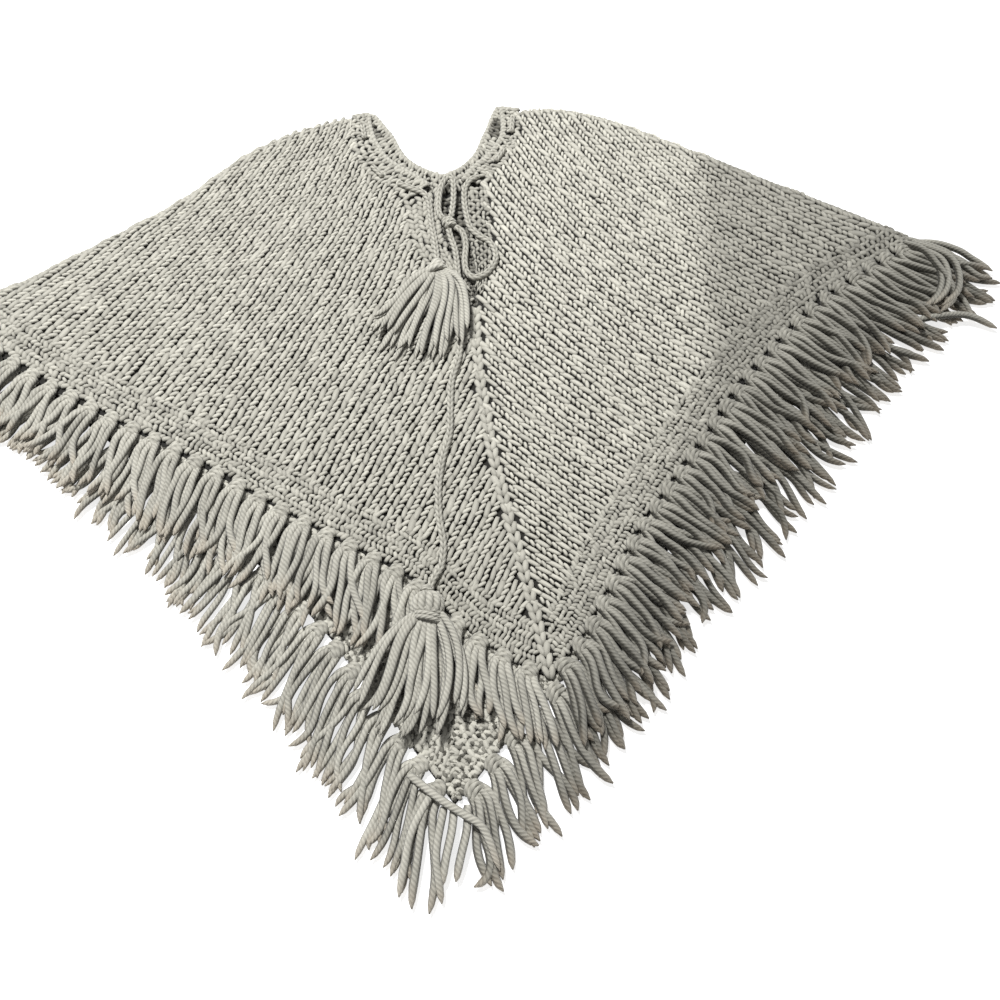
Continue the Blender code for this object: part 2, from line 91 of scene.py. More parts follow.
BAND_INNER = {
    "left": ((-47, 403), (-80, 428), (-111, 455), (-132, 491), (-142, 522), (-144, 548)),
    "right": ((0, 413), (13, 434), (33, 457), (51, 483), (59, 511), (57, 561)),
}
SPINE_BACK = ((6, -466), (3, -293), (-10, -53), (-23, 167), (-30, 395))
BAND_BACK_OUTER = {
    "left": ((-30, 395), (-70, 405), (-108, 435), (-141, 477), (-161, 512), (-169, 542)),
    "right": ((-30, 395), (11, 409), (43, 441), (65, 479), (79, 519), (84, 559)),
}
NECK_EDGE = {
    "left": ((-30, 431), (-61, 445), (-87, 467), (-107, 504), (-121, 527), (-137, 551)),
    "right": ((-30, 431), (0, 448), (22, 477), (33, 512), (41, 542), (51, 567)),
}

# soft folds raised in the front: from x, y, to x, y, half width, height
FOLDS = (
    (305, 427, 347, 67, 38, 4),
    (-105, 307, -355, 237, 40, 3),
    (-155, 67, -215, -23, 45, 2.5),
    (225, 337, 165, 47, 42, 2.5),
    (-455, 297, -585, 137, 40, 3.5),
    (475, 337, 535, 307, 34, 3),
)

# share of the way from the point of the hem to the wing, direction (deg), length
FRINGE_FRONT = {
    "left": ((0.00, -82, 88), (0.13, -88, 95), (0.26, -94, 104), (0.40, -102, 106),
             (0.55, -101, 113), (0.65, -97, 104), (0.73, -113, 92), (0.85, -115, 84),
             (1.00, -132, 80)),
    "right": ((0.00, -72, 90), (0.08, -60, 98), (0.18, -42, 96), (0.32, -41, 98),
              (0.42, -50, 106), (0.55, -50, 122), (0.70, -43, 116), (0.82, -44, 124),
              (0.92, -40, 120), (1.00, -29, 118)),
}
FRINGE_BACK = {
    "left": ((0.00, -100, 112), (0.05, -107, 116), (0.11, -113, 104), (0.18, -117, 118),
             (0.30, -115, 112), (0.40, -115, 106), (0.55, -117, 92), (0.70, -123, 88),
             (0.85, -132, 86), (1.00, -142, 84)),
    "right": ((0.00, -80, 112), (0.06, -75, 108), (0.13, -70, 106), (0.20, -66, 110),
              (0.36, -60, 100), (0.47, -57, 112), (0.60, -52, 124), (0.70, -47, 116),
              (0.85, -43, 108), (1.00, -30, 108)),
}

# strands that lie across the others at the wing and at the point: x, y, z
LOOSE = {
    "fringe_front_right": (
        ((624, 302, 9), (664, 296, 16), (694, 282, 18), (714, 269, 14), (741, 253, 8)),
        ((630, 304, 14), (670, 278, 22), (693, 257, 20), (715, 240, 14), (738, 241, 8)),
        ((622, 297, 16), (642, 276, 26), (656, 247, 28), (668, 216, 27), (668, 194, 24),
         (648, 174, 21)),
        ((634, 298, 16), (671, 262, 30), (680, 233, 31), (673, 202, 29), (652, 183, 24)),
        ((622, 296, 9), (660, 286, 14), (690, 270, 15), (712, 255, 12), (738, 240, 7)),
        ((618, 288, 9), (652, 276, 13), (682, 260, 13), (704, 246, 11), (722, 236, 7)),
        ((628, 290, 18), (660, 262, 27), (667, 234, 28), (660, 206, 26), (641, 186, 21)),
        ((636, 280, 16), (655, 252, 24), (658, 226, 25), (648, 200, 23), (628, 182, 19)),
        ((600, 164, 7), (640, 170, 15), (687, 174, 13), (727, 157, 7)),
        ((668, 232, 14), (686, 202, 12), (693, 185, 9), (697, 172, 6)),
    ),
    "fringe_back_left": (
        ((-44, -436, 12), (-9, -463, 19), (17, -479, 20), (38, -494, 19), (55, -534, 12)),
        ((-18, -454, 12), (-38, -494, 15), (-45, -529, 12), (-50, -560, 7)),
        ((-5, -470, 12), (-12, -514, 14), (-9, -543, 12), (-5, -566, 7)),
    ),
    "fringe_back_right": (
        ((6, -470, 12), (4, -494, 15), (-2, -524, 14), (-6, -550, 8)),
        ((20, -468, 12), (20, -492, 14), (13, -524, 12), (9, -545, 8)),
    ),
}
MOUTHS = ((-138, 522), (-137, 508), (50, 534), (48, 516))    # where the front's band gapes off it

# drawstring routes: x, y, height above the cloth it lies on
CORD_SHORT = ((-93, 404, 0), (-83, 399, 0), (-70, 392, 0), (-55, 384, 0), (-47, 369, 0),
              (-44, 347, 0), (-41, 325, 0), (-36, 297, 0), (-33, 271, 0.5), (-33, 258.4, 1))
CORD_LONG = ((-17.8, 319.5, 1), (-14, 304, 0), (-7, 279, 0), (-2, 228, 0), (2, 167, 0),
             (1, 108, 0), (-8, 67, 0), (-9, 25, 0), (-9, -12, 0), (-17, -49, 0), (-21, -88, 0),
             (-19, -128, 0), (-13, -165, 0), (-15, -193, 0), (-21, -206, 3), (-26, -219, 6),
             (-27, -230, 7))
LOOP_SMALL = ((-25.4, 335.6, 2), (-32, 349, 0), (-33, 369, 0), (-30, 395, 0), (-22, 412, 0),
              (-14, 409, 0), (-12, 392, 0), (-12, 367, 0), (-14.4, 339.4, 2))
LOOP_LARGE = ((25, 418, 0), (19, 414, 0), (10, 406, 0), (4, 391, 0), (4, 369, 0), (7, 347, 0),
              (13, 323, 0), (25, 309, 0), (40, 298, 0), (48, 282, 0), (48, 263, 0), (37, 244, 0),
              (20, 235, 0), (9, 245, 0), (6, 265, 0), (7, 292, 0), (2, 314, 0),
              (-8.9, 323.3, 1.5))
STITCHED_CORD = {        # short stretches that show between two eyelets: x, y, x, y
    "left_low": (-133, 439, -116, 418),
    "left_high": (-152, 522, -147, 494),
    "right_low": (49, 448, 62, 474),
    "right_high": (72, 507, 74, 538),
}
TASSELS = {
    "tassel_short": {
        "head": (-32, 246, 10.4), "head_size": (24, 24, 20), "lift": 0,
        "binding": ((-45, 243), (-39, 240), (-31, 238.5), (-24, 240), (-18, 243)),
        "leaving": (-165, -92, -25), "arriving": (-140, -100, -82),
        "ends": ((-121, 157), (-103, 129), (-75, 111), (-45, 105), (-11, 115), (15, 129)),
    },
    "tassel_long": {
        "head": (-28, -247, 17), "head_size": (36, 33, 25), "lift": 6.2,
        "binding": ((-49, -254), (-40, -260.2), (-29, -263.9), (-18, -260.2), (-9, -254)),
        "leaving": (-158, -100, -50), "arriving": (-126, -118, -104),
        "ends": ((-113, -355), (-91, -373), (-63, -385), (-33, -387), (-5, -381), (17, -363)),
    },
}

# ---- knit ----
WALE = 15.6 * MM         # width of a column of stitches
ROW = 8.3 * MM           # height of a row
LINING = 2.6 * MM        # thickness of the shell that the stitches are set on
BORDER_ROWS = 6          # rows of the field that the border of seed stitch takes up
SEED_ROWS = 7            # rows of seed stitch in it
BRAID_HALF = 11 * MM     # half width of the braided centre line
BRAID_PITCH = 13.4 * MM
FOLD_CENTRE = 6.15 * MM  # height of the middle of the fold along a shoulder
FOLD_RADIUS = 6.15 * MM
FOLD_TURN = 5.0 * MM     # radius at which a row's height is measured round that fold
FOLD_PAST = 5 * MM       # how far round it the front's stitches go
FOLD_INSET = 5 * MM      # how far in from a shoulder the shells stop
FOLD_TUCK = 4 * MM       # how far inside the fold the feet of its stitches lie
SHOULDER_ROPE = 11 * MM  # thickness of the rope along the fold


# ---- curves and heights ----
def smooth(points, fine=16):
    """A dense Catmull-Rom curve through the points of a table, as an array."""
    knots = np.array(points, float)
    padded = np.vstack([2 * knots[0] - knots[1], knots, 2 * knots[-1] - knots[-2]])
    t = np.linspace(0, 1, fine, endpoint=False)[:, None]
    spans = []
    for a, b, c, d in zip(padded, padded[1:], padded[2:], padded[3:]):
        spans.append(0.5 * (2 * b + (c - a) * t + (2 * a - 5 * b + 4 * c - d) * t ** 2
                            + (3 * b - a - 3 * c + d) * t ** 3))
    return np.vstack(spans + [knots[-1:]])


def run(line):
    """Length along a polyline in plan, at each of its points."""
    return np.concatenate([[0], np.cumsum(np.hypot(*np.diff(line[:, :2], axis=0).T))])


def at(line, fractions):
    """Points of a polyline at fractions of its length."""
    length = run(line)
    where = np.asarray(fractions) * length[-1]
    return np.stack([np.interp(where, length, column) for column in line.T], axis=1)


def curve(table):
    """The smooth curve in metres through a table in millimetres."""
    return smooth(table) * MM


def spaced(count):
    """The fractions from 0 to 1 in so many equal steps."""
    return np.arange(count + 1) / count


def chords(points, shares):
    """Points on the straight lines between a row of points, share 0 at its first, 1 at its last."""
    index = np.asarray(shares) * (len(points) - 1)
    return np.stack([np.interp(index, np.arange(len(points)), column) for column in points.T],
                    axis=1)


def near_line(points, line):
    """Distance from points [n, 2] to a polyline, and the nearest point on it."""
    a, b = line[:-1], line[1:]
    way = b - a
    t = ((points[:, None] - a) * way).sum(-1) / (way ** 2).sum(-1)
    foot = a + np.clip(t, 0, 1)[..., None] * way
    gap = np.hypot(*(points[:, None] - foot).transpose(2, 0, 1))
    best = gap.argmin(1)
    pick = np.arange(len(points))
    return gap[pick, best], foot[pick, best]


def inside(points, outline):
    """Which points [n, 2] lie inside a closed outline."""
    x, y = points[:, :1], points[:, 1:]
    ax, ay = outline.T
    bx, by = np.roll(outline, -1, axis=0).T
    crosses = (ay > y) != (by > y)
    rise = np.where(by == ay, 1, by - ay)
    return (crosses & (x < (bx - ax) * (y - ay) / rise + ax)).sum(1) % 2 == 1


def near_segment(x, y, ax, ay, bx, by):
    """Distance from points to a segment."""
    dx, dy = bx - ax, by - ay
    t = np.clip(((x - ax) * dx + (y - ay) * dy) / (dx * dx + dy * dy), 0, 1)
    return np.hypot(x - ax - t * dx, y - ay - t * dy)


def front_rest(x, y):
    """Height of the front's underside: on the back, but for its folds and the gathered neck."""
    x, y = np.asarray(x, float), np.asarray(y, float)
    reach = np.hypot(x - NECK_CENTRE[0], y - NECK_CENTRE[1]) / NECK_SPREAD
    z = WALL + SEAM + NECK_LIFT * np.exp(-reach ** 2)
    for ax, ay, bx, by, width, height in FOLDS:
        gap = near_segment(x, y, ax * MM, ay * MM, bx * MM, by * MM)
        z = z + height * MM * np.exp(-(gap / (width * MM)) ** 2)
    return z


def front_top(x, y):
    return front_rest(x, y) + WALL


def on_floor(x, y):
    return np.zeros_like(np.asarray(x, float))


# ---- meshes ----
STRAND_PLIES = 5
STRAND_PITCH = 27 * MM   # one full turn of a strand's plies


def new_object(name, data):
    """An object of this data, linked into the scene."""
    thing = bpy.data.objects.new(name, data)
    bpy.context.scene.collection.objects.link(thing)
    return thing


class Knit:
    """Gathers vertices, faces and yarn tones, and makes one piece of them."""

    def __init__(self):
        self.points, self.faces, self.tones, self.count = [], [], [], 0

    def take(self, points, faces, tones):
        """points [n, 3], faces [m, 4] (a triangle repeats its last corner), tones [n, 3]."""
        self.points.append(points)
        self.faces.append(faces + self.count)
        self.tones.append(tones)
        self.count += len(points)

    def take_many(self, points, faces, tones):
        """Copies of one pattern: points [k, n, 3], its faces [m, 4], tones [k, n, 3]."""
        copies, n = points.shape[:2]
        shifts = (np.arange(copies) * n)[:, None, None]
        self.take(points.reshape(-1, 3), (faces[None] + shifts).reshape(-1, 4),
                  tones.reshape(-1, 3))

    def piece(self, name, look, slot, *nodes):
        points = np.vstack(self.points).astype(np.float32)
        faces = np.vstack(self.faces)
        tones = np.vstack(self.tones)
        triangle = faces[:, 2] == faces[:, 3]
        sizes = np.where(triangle, 3, 4)
        corners = faces[np.arange(4)[None] < sizes[:, None]]
        mesh = bpy.data.meshes.new(name)
        mesh.vertices.add(len(points))
        mesh.vertices.foreach_set("co", points.ravel())
        mesh.loops.add(len(corners))
        mesh.loops.foreach_set("vertex_index", corners.astype(np.int32))
        mesh.polygons.add(len(faces))
        starts = np.concatenate([[0], np.cumsum(sizes)[:-1]]).astype(np.int32)
        mesh.polygons.foreach_set("loop_start", starts)
        mesh.update(calc_edges=True)
        mesh.shade_smooth()
        yarn = mesh.color_attributes.new("yarn", "FLOAT_COLOR", "POINT")
        colour = np.hstack([tones, np.ones((len(tones), 1))]).astype(np.float32)
        yarn.data.foreach_set("color", colour.ravel())
        mesh.materials.append(look)
        thing = new_object(name, mesh)
        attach(thing, "root")
        if nodes:
            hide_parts(*nodes)
        return thing


def sheet_faces(rows, columns, closed=False):
    """Quads of a grid of rows x columns points; closed joins its last column to its first."""
    row = np.arange(rows - 1)[:, None]
    column = np.arange(columns if closed else columns - 1)[None]
    nxt = (column + 1) % columns
    quads = np.stack([row * columns + column, row * columns + nxt,
                      (row + 1) * columns + nxt, (row + 1) * columns + column], axis=-1)
    return quads.reshape(-1, 4)


def tube_faces(rings, sides):
    """Quads round a tube, with a fan of triangles over each end."""
    quads = sheet_faces(rings, sides, closed=True)
    fan = [[0, j + 1, j, j] for j in range(1, sides - 1)]
    last = (rings - 1) * sides
    end = [[last, last + j, last + j + 1, last + j + 1] for j in range(1, sides - 1)]
    return np.vstack([quads, fan, end])


def unit(vectors):
    return vectors / np.maximum(np.linalg.norm(vectors, axis=-1, keepdims=True), 1e-9)


def frames(lines, reference=(0, 0, 1.0)):
    """Unit vectors across and above lines [k, m, 3], which never run along the reference."""
    ahead = unit(np.gradient(lines, axis=1))
    across = unit(np.cross(ahead, reference))
    return across, np.cross(across, ahead)


def way_along(lines):
    """Length along lines [..., m, 3] at each of their points."""
    steps = np.linalg.norm(np.diff(lines, axis=-2), axis=-1)
    start = np.zeros((*steps.shape[:-1], 1))
    return np.concatenate([start, np.cumsum(steps, axis=-1)], axis=-1)


def plied(lines, radius, sides, swell, plies=STRAND_PLIES, pitch=STRAND_PITCH,
          reference=(0, 0, 1.0)):
    """Round strands along lines [k, m, 3]; swell [k, m] is each ring's share of the radius.

    Returns points [k, m, sides, 3], the angle of each side from across to above, and the plies
    counted at each point [k, m, sides].
    """
    across, above = frames(lines, reference)
    way = way_along(lines)
    share = (np.arange(sides) + 0.5) / sides
    ring = 2 * np.pi * share - np.pi / 2
    size = np.asarray(radius).reshape(-1, 1, 1) * np.asarray(swell)[..., None]
    points = (lines[:, :, None] + (np.cos(ring) * size)[..., None] * across[:, :, None]
              + (np.sin(ring) * size)[..., None] * above[:, :, None])
    start = RNG.uniform(0, 1, (len(lines), 1, 1))
    return points, ring, plies * (share - way[..., None] / pitch) + start


def lay(yarn, points, tone, ply, length=0.0):
    """Adds strands of points [k, m, sides, 3]; tone, ply and length spread over them."""
    k, m, sides = points.shape[:3]
    tones = np.zeros(points.shape)
    tones[..., 0], tones[..., 1], tones[..., 2] = tone, length, ply
    yarn.take_many(points.reshape(k, -1, 3), tube_faces(m, sides), tones.reshape(k, -1, 3))


def undershade(ring, deep):
    """How much darker a lying strand is round its sides and underneath."""
    # painted shade: the sides and underside of a lying strand are darkened in its tone
    return -deep * np.clip(0.62 - np.sin(ring), 0, 1)


# ---- materials ----
YARN = (0.70, 0.682, 0.60)
# painted shade: the colour that the yarn's tone darkens to in crevices and on shaded sides
YARN_SHADED = (0.07, 0.066, 0.052)
YARN_TIP = (0.56, 0.47, 0.36)
# painted shade: the near-black colour of the shells under the stitches, so the gaps between
# stitches read as shade
SHADE = (0.016, 0.015, 0.012)
PLY_GROOVE = 0.22        # how much darker it is between two plies: painted shade in the grooves


def new_look(name):
    look = bpy.data.materials.new(name)
    look.use_nodes = True
    return look


def feed(tree, node, inputs):
    """Sets a node's sockets to numbers and colours, or links other nodes' outputs to them."""
    for socket, value in inputs.items():
        if isinstance(value, bpy.types.NodeSocket):
            tree.links.new(value, node.inputs[socket])
        else:
            node.inputs[socket].default_value = value
    return node


def add_node(tree, kind, inputs, **settings):
    node = tree.nodes.new("ShaderNode" + kind)
    for name, value in settings.items():
        setattr(node, name, value)
    return feed(tree, node, inputs)


def wool(name, light, dark, tip):
    """Matt plied wool. The yarn attribute holds a tone, the way along a strand and its plies."""
    look = new_look(name)
    tree = look.node_tree
    yarn = add_node(tree, "Attribute", {}, attribute_name="yarn")
    parts = add_node(tree, "SeparateColor", {"Color": yarn.outputs["Color"]}).outputs
    place = add_node(tree, "TexCoord", {}).outputs["Object"]
    patches = add_node(tree, "TexNoise", {"Vector": place, "Scale": 60, "Detail": 3})
    patchy = add_node(tree, "Math", {0: patches.outputs["Fac"], 1: 0.30, 2: parts["Red"]},
                      operation="MULTIPLY_ADD", use_clamp=True)
    # painted shade: the yarn is darkened in the grooves between its plies
    turns = add_node(tree, "Math", {0: parts["Blue"], 1: 2 * math.pi}, operation="MULTIPLY")
    ridge = add_node(tree, "Math", {0: turns.outputs[0]}, operation="COSINE").outputs[0]
    groove = add_node(tree, "MapRange", {"Value": ridge, "From Min": -1.0, "From Max": 0.3,
                                         "To Min": -PLY_GROOVE, "To Max": 0},
                      interpolation_type="SMOOTHSTEP")
    grooved = add_node(tree, "Math", {0: patchy.outputs[0], 1: groove.outputs["Result"]},
                       operation="ADD", use_clamp=True)
    # the tone mixes from the painted shade colour up to the yarn's own colour
    body = add_node(tree, "Mix", {"A": (*dark, 1), "B": (*light, 1),
                                  "Factor": grooved.outputs[0]}, data_type="RGBA")
    worn = add_node(tree, "MapRange", {"Value": parts["Green"], "From Min": 0.72,
                                       "From Max": 1.0, "To Max": 0.42},
                    interpolation_type="SMOOTHSTEP")
    tipped = add_node(tree, "Mix", {"A": body.outputs["Result"], "B": (*tip, 1),
                                    "Factor": worn.outputs["Result"]}, data_type="RGBA")
    fuzz = add_node(tree, "TexNoise", {"Vector": place, "Scale": 900, "Detail": 4})
    rough = add_node(tree, "Bump", {"Height": fuzz.outputs["Fac"], "Strength": 0.5,
                                    "Distance": 0.5 * MM})
    plump = add_node(tree, "Bump", {"Height": ridge, "Normal": rough.outputs["Normal"],
                                    "Strength": 0.6, "Distance": 0.45 * MM})
    feed(tree, tree.nodes["Principled BSDF"], {
        "Base Color": tipped.outputs["Result"], "Normal": plump.outputs["Normal"],
        "Roughness": 0.88, "Sheen Weight": 0.25, "Sheen Roughness": 0.6,
        "Specular IOR Level": 0.25})
    return look


# ---- camera, light and floor ----
CAMERA_TILT = 26         # degrees from straight down
CAMERA_AT = (0.055, -0.644, 1.12)
CAMERA_LENS = 36         # as long as the sensor is wide: the view is as wide as it is far
KEY_AT = (-0.62, 0.86, 2.4)
KEY_AIM = (0, 0.1, 0)
KEY_SIZE = 0.5
KEY_POWER = 82
KEY_COLOUR = (1, 0.995, 0.985)
AMBIENT = 0.28           # strength of the even light from all round
FLOOR_DROP = 0.5 * MM    # how far below the garment's underside the floor lies
FLAGS = {                # the ground that each shades, its height, the share of light it passes
    "flag_wing": (((0.40, 0.85), (0.363, 0.487), (0.335, 0.048), (0.13, -0.33), (0.12, -0.8),
                   (1.0, -0.8), (1.0, 0.85)), 0.2, 0.64),
    "flag_fringe": (((0.66, 0.29), (0.55, 0.19), (0.46, 0.10), (0.38, 0.02), (0.30, -0.10),
                     (0.20, -0.25), (0.16, -0.33), (0.15, -0.8), (1.0, -0.8), (1.0, 0.29)),
                    0.19, 0.92),
}


def flag(name, shade, height, passes):
    """A sheet of thin gauze that dims the light over some ground, unseen by the camera."""
    ground = np.array(shade)
    corners = ground + (np.array(KEY_AT[:2]) - ground) * height / KEY_AT[2]
    mesh = bpy.data.meshes.new(name)
    mesh.from_pydata([(*corner, height) for corner in corners], [], [range(len(corners))])
    gauze = new_look(name)
    tree = gauze.node_tree
    thin = add_node(tree, "BsdfTransparent", {"Color": (passes, passes, passes, 1)})
    feed(tree, tree.nodes["Material Output"], {"Surface": thin.outputs[0]})
    mesh.materials.append(gauze)
    sheet = new_object(name, mesh)
    sheet.visible_camera = False


def key_light():
    data = bpy.data.lights.new("key", "AREA")
    data.shape = "DISK"
    data.size = KEY_SIZE
    data.energy = KEY_POWER
    data.color = KEY_COLOUR
    lamp = new_object("key", data)
    lamp.location = KEY_AT
    way = np.array(KEY_AIM, float) - np.array(KEY_AT, float)
    flat = math.hypot(way[0], way[1])
    lamp.rotation_euler = (math.atan2(flat, -way[2]), 0, math.atan2(way[1], way[0]) - math.pi / 2)


def studio():
    scene = bpy.context.scene
    data = bpy.data.cameras.new("camera")
    data.sensor_width = CAMERA_LENS
    data.lens = CAMERA_LENS
    camera = new_object("camera", data)
    camera.location = CAMERA_AT
    camera.rotation_euler = (math.radians(CAMERA_TILT), 0, 0)
    scene.camera = camera
    scene.view_settings.view_transform = "Standard"
    world = bpy.data.worlds.new("studio")
    world.use_nodes = True
    feed(world.node_tree, world.node_tree.nodes["Background"],
         {"Color": (1, 1, 1, 1), "Strength": AMBIENT})
    scene.world = world
    key_light()
    for name, (shade, height, passes) in FLAGS.items():
        flag(name, shade, height, passes)
    bpy.ops.mesh.primitive_plane_add(size=40, location=(0, 0, -FLOOR_DROP))
    floor = bpy.context.object
    floor.name = "floor"
    white = new_look("floor_white")
    feed(white.node_tree, white.node_tree.nodes["Principled BSDF"], {
        "Base Color": (0.9, 0.9, 0.9, 1), "Roughness": 0.9,
        "Emission Color": (1, 1, 1, 1), "Emission Strength": 0.7})
    floor.data.materials.append(white)


# ---- drawstring ----
CORD_STEP = 1.3 * MM     # distance between the rings of a cord
FREE_CORDS = {"cord_short": CORD_SHORT, "cord_long": CORD_LONG,
              "bow_loop_small": LOOP_SMALL, "bow_loop_large": LOOP_LARGE}
PLAIT_SIDES = 16
PLAIT_PITCH = 8.2 * MM   # length of one V of the plaited cord
PLAIT_SLANT = 1.9        # how many V's the cord's underside is behind its top
PLAIT_DEPTH = 0.22       # depth of the valleys between the V's, as a share of the radius
PLAIT_CREASE = 0.16      # depth of the crease along its top
PLAIT_WIDE = 1.12        # how far its plies stand out


def cord_path(route, diameter):
    """Centreline of a cord laid on the front."""
    dense = curve(route)
    count = max(8, round(run(dense)[-1] / CORD_STEP))
    x, y, lift = at(dense, spaced(count)).T
    return np.stack([x, y, front_top(x, y) + SEAM + diameter / 2 + lift], axis=1)


def plait(yarn, path, diameter):
    """A plaited cord: a round tube whose strands cross it in V-shaped ridges."""
    across, above = frames(path[None])
    way = way_along(path)
    ring = 2 * np.pi * np.arange(PLAIT_SIDES) / PLAIT_SIDES
    from_top = np.abs((ring - np.pi / 2 + np.pi) % (2 * np.pi) - np.pi) / np.pi
    phase = (way[:, None] / PLAIT_PITCH + PLAIT_SLANT * from_top) % 1 - 0.5
    valley = np.exp(-(phase / 0.16) ** 2)
    middle = np.exp(-(from_top / 0.06) ** 2)
    size = diameter / 2 * PLAIT_WIDE * (1 - PLAIT_DEPTH * valley - PLAIT_CREASE * middle)
    ends = np.minimum(1, np.sqrt(np.minimum(way, way[-1] - way) / (0.3 * diameter)) + 0.35)
    size = size * ends[:, None]
    points = (path[:, None] + (np.cos(ring) * size)[..., None] * across[0][:, None]
              + (np.sin(ring) * size)[..., None] * above[0][:, None])
    # painted shade: darker in the valleys between the V's, along the crease on top, and round the
    # sides and underneath
    lay(yarn, points[None], 0.60 - 0.50 * valley - 0.35 * middle + undershade(ring, 0.3), 0)


def drawstring(look):
    """Every stretch of the cord that shows; returns the piece and the path of each."""
    routes = {name: (route, CORD) for name, route in FREE_CORDS.items()}
    for name, (ax, ay, bx, by) in STITCHED_CORD.items():
        routes["drawstring_" + name] = (((ax, ay, 0), (bx, by, 0)), STITCHED)
    made = {}
    for name, (route, diameter) in routes.items():
        path = cord_path(route, diameter)
        yarn = Knit()
        plait(yarn, path, diameter)
        made[name] = (yarn.piece(name + "_plait", look, "cord_yarn", name), path)
    return made


# ---- fringe ----
STRAND = 8.8 * MM        # thickness of a plied strand
# strands to a knot, their thickness and tone, how much painted shade darkens their sides, how far
# that shade leans to one side, and how much painted shade darkens their tips
LOCKS = {
    "left": (6, STRAND, 0.56, 1.0, 0.1, 0.06),
    "right": (5, 9.8 * MM, 0.66, 1.7, 0.55, 0.32),
}
STRAND_RINGS = 30
KNOT_WIDTH = 20 * MM
KNOT_WRAPS = 3           # strands that cross a knot side by side
WRAP = 6.6 * MM          # thickness of one
KNOT_SHARE = 0.705       # where a knot sits in its space along the hem
KNOT_OUT = 0.42          # and across the strip outside the hem
KNOT_BASE = 4.6 * MM     # height of a knot's middle, and how far its wraps rise and bow over it
KNOT_HIGH = 6.2 * MM
KNOT_BOW = 5.5 * MM
ROOT_SPREAD = 5.8 * MM   # half width over which a lock's strands leave their knot
ROOT_OUT = 5 * MM        # how far out from the hem they start
ROOT_RISE = 5.2 * MM     # and how high
LYING = {"front": 14.4 * MM, "back": 5.4 * MM}    # height of a fringe's lower strands
UPPER = 5.2 * MM         # how much higher every other strand lies
SINKING = 4.6 * MM       # how much of that the back's strands lose towards their tips
LOOSE_RADIUS = 4.6 * MM


def outward_normals(line):
    """Unit normals of a polyline, 90 degrees clockwise from its direction."""
    way = np.gradient(line, axis=0)
    way /= np.hypot(*way.T)[:, None]
    return np.stack([way[:, 1], -way[:, 0]], axis=1)


def knot_places(hem_table, side):
    """Centres of the knots along a hem, and the unit vectors out from it there."""
    hem = at(curve(hem_table), spaced(KNOTS))
    shares = (np.arange(KNOTS) + KNOT_SHARE) / KNOTS
    places = chords(hem, shares)
    normals = outward_normals(places) * (1 if side == "right" else -1)
    return places, normals, shares


def knot_wraps(yarn, centres, outward):
    """Plies wrapped over the tops of the strands, side by side; centres [k, 3], outward [k, 2]."""
    k = len(centres)
    t = np.linspace(-1, 1, 10)
    across = np.stack([-outward[:, 1], outward[:, 0]], axis=1)
    scale = 1 + RNG.normal(0, 0.07, k)
    lean = RNG.normal(0, 0.18, k)
    tone = RNG.normal(0, 0.07, k)
    swell = np.tile(np.interp(np.abs(t), (0, 0.8, 1), (1, 0.95, 0.6)), (k, 1))
    for wrap in range(KNOT_WRAPS):
        place = wrap - (KNOT_WRAPS - 1) / 2
        dome = math.cos(place * 0.62)
        aside = t[None] * KNOT_WIDTH / 2 * (scale * (0.80 + 0.2 * dome))[:, None]
        away = place * WRAP * 0.78 + KNOT_BOW * (t ** 2)[None] + lean[:, None] * aside
        high = KNOT_HIGH * dome * np.sqrt(1 - 0.94 * t ** 2)[None] * scale[:, None]
        lines = np.zeros((k, len(t), 3))
        lines[..., :2] = (centres[:, None, :2] + aside[..., None] * across[:, None]
                          + away[..., None] * outward[:, None])
        lines[..., 2] = centres[:, None, 2] + high
        points, ring, ply = plied(lines, np.full(k, WRAP / 2), 7, swell, plies=3)
        lay(yarn, points, 0.58 + 0.6 * tone[:, None, None] + undershade(ring, 0.7), ply)


def wound(yarn, centre, axis, places, half, high, thick, slant=0.0, tone=0.60):
    """Rings of ply wound round an axis in plan, at places along it; half widths and heights [k]."""
    turn = np.linspace(-np.pi / 2, 1.5 * np.pi, 19)
    axis = np.array(axis, float)
    side = np.array([-axis[1], axis[0]])
    k = len(places)
    half, high = np.broadcast_to(half, k), np.broadcast_to(high, k)
    aside = np.cos(turn) * half[:, None]
    lines = np.zeros((k, len(turn), 3))
    lines[..., :2] = (centre[:2] + (np.array(places)[:, None] + slant * aside)[..., None] * axis
                      + aside[..., None] * side)
    lines[..., 2] = centre[2] + np.sin(turn) * high[:, None]
    points, ring, ply = plied(lines, np.full(k, thick / 2), 8, np.ones(lines.shape[:2]),
                              reference=(*axis, 0))
    # painted shade: each ring darker on its flanks, where it presses against the next
    lay(yarn, points, tone + RNG.normal(0, 0.03, (k, 1, 1)) - 0.5 * np.sin(ring) ** 4, ply)


def ball(yarn, centre, axis, size, plies, thick):
    """Plies laid over a ball from pole to pole; size is its half length, width and height."""
    lat = np.linspace(-0.44, 0.44, 9) * np.pi
    lon = 2 * np.pi * (np.arange(plies) + 0.5) / plies
    side = np.array([-axis[1], axis[0]])
    aside = np.cos(lon)[:, None] * np.cos(lat) * size[1]
    lines = np.zeros((plies, len(lat), 3))
    lines[..., :2] = (np.array(centre[:2])
                      + (np.sin(lat) * size[0])[None, :, None] * np.array(axis)
                      + aside[..., None] * side)
    lines[..., 2] = centre[2] + np.sin(lon)[:, None] * np.cos(lat) * size[2]
    out = unit(lines - np.array(centre))
    swell = np.tile(0.45 + 0.55 * np.cos(lat), (plies, 1))
    points, ring, ply = plied(lines, np.full(plies, thick / 2), 8, swell, reference=out)
    lay(yarn, points, 0.62 + RNG.normal(0, 0.04, (plies, 1, 1)) + undershade(ring, 0.7), ply)


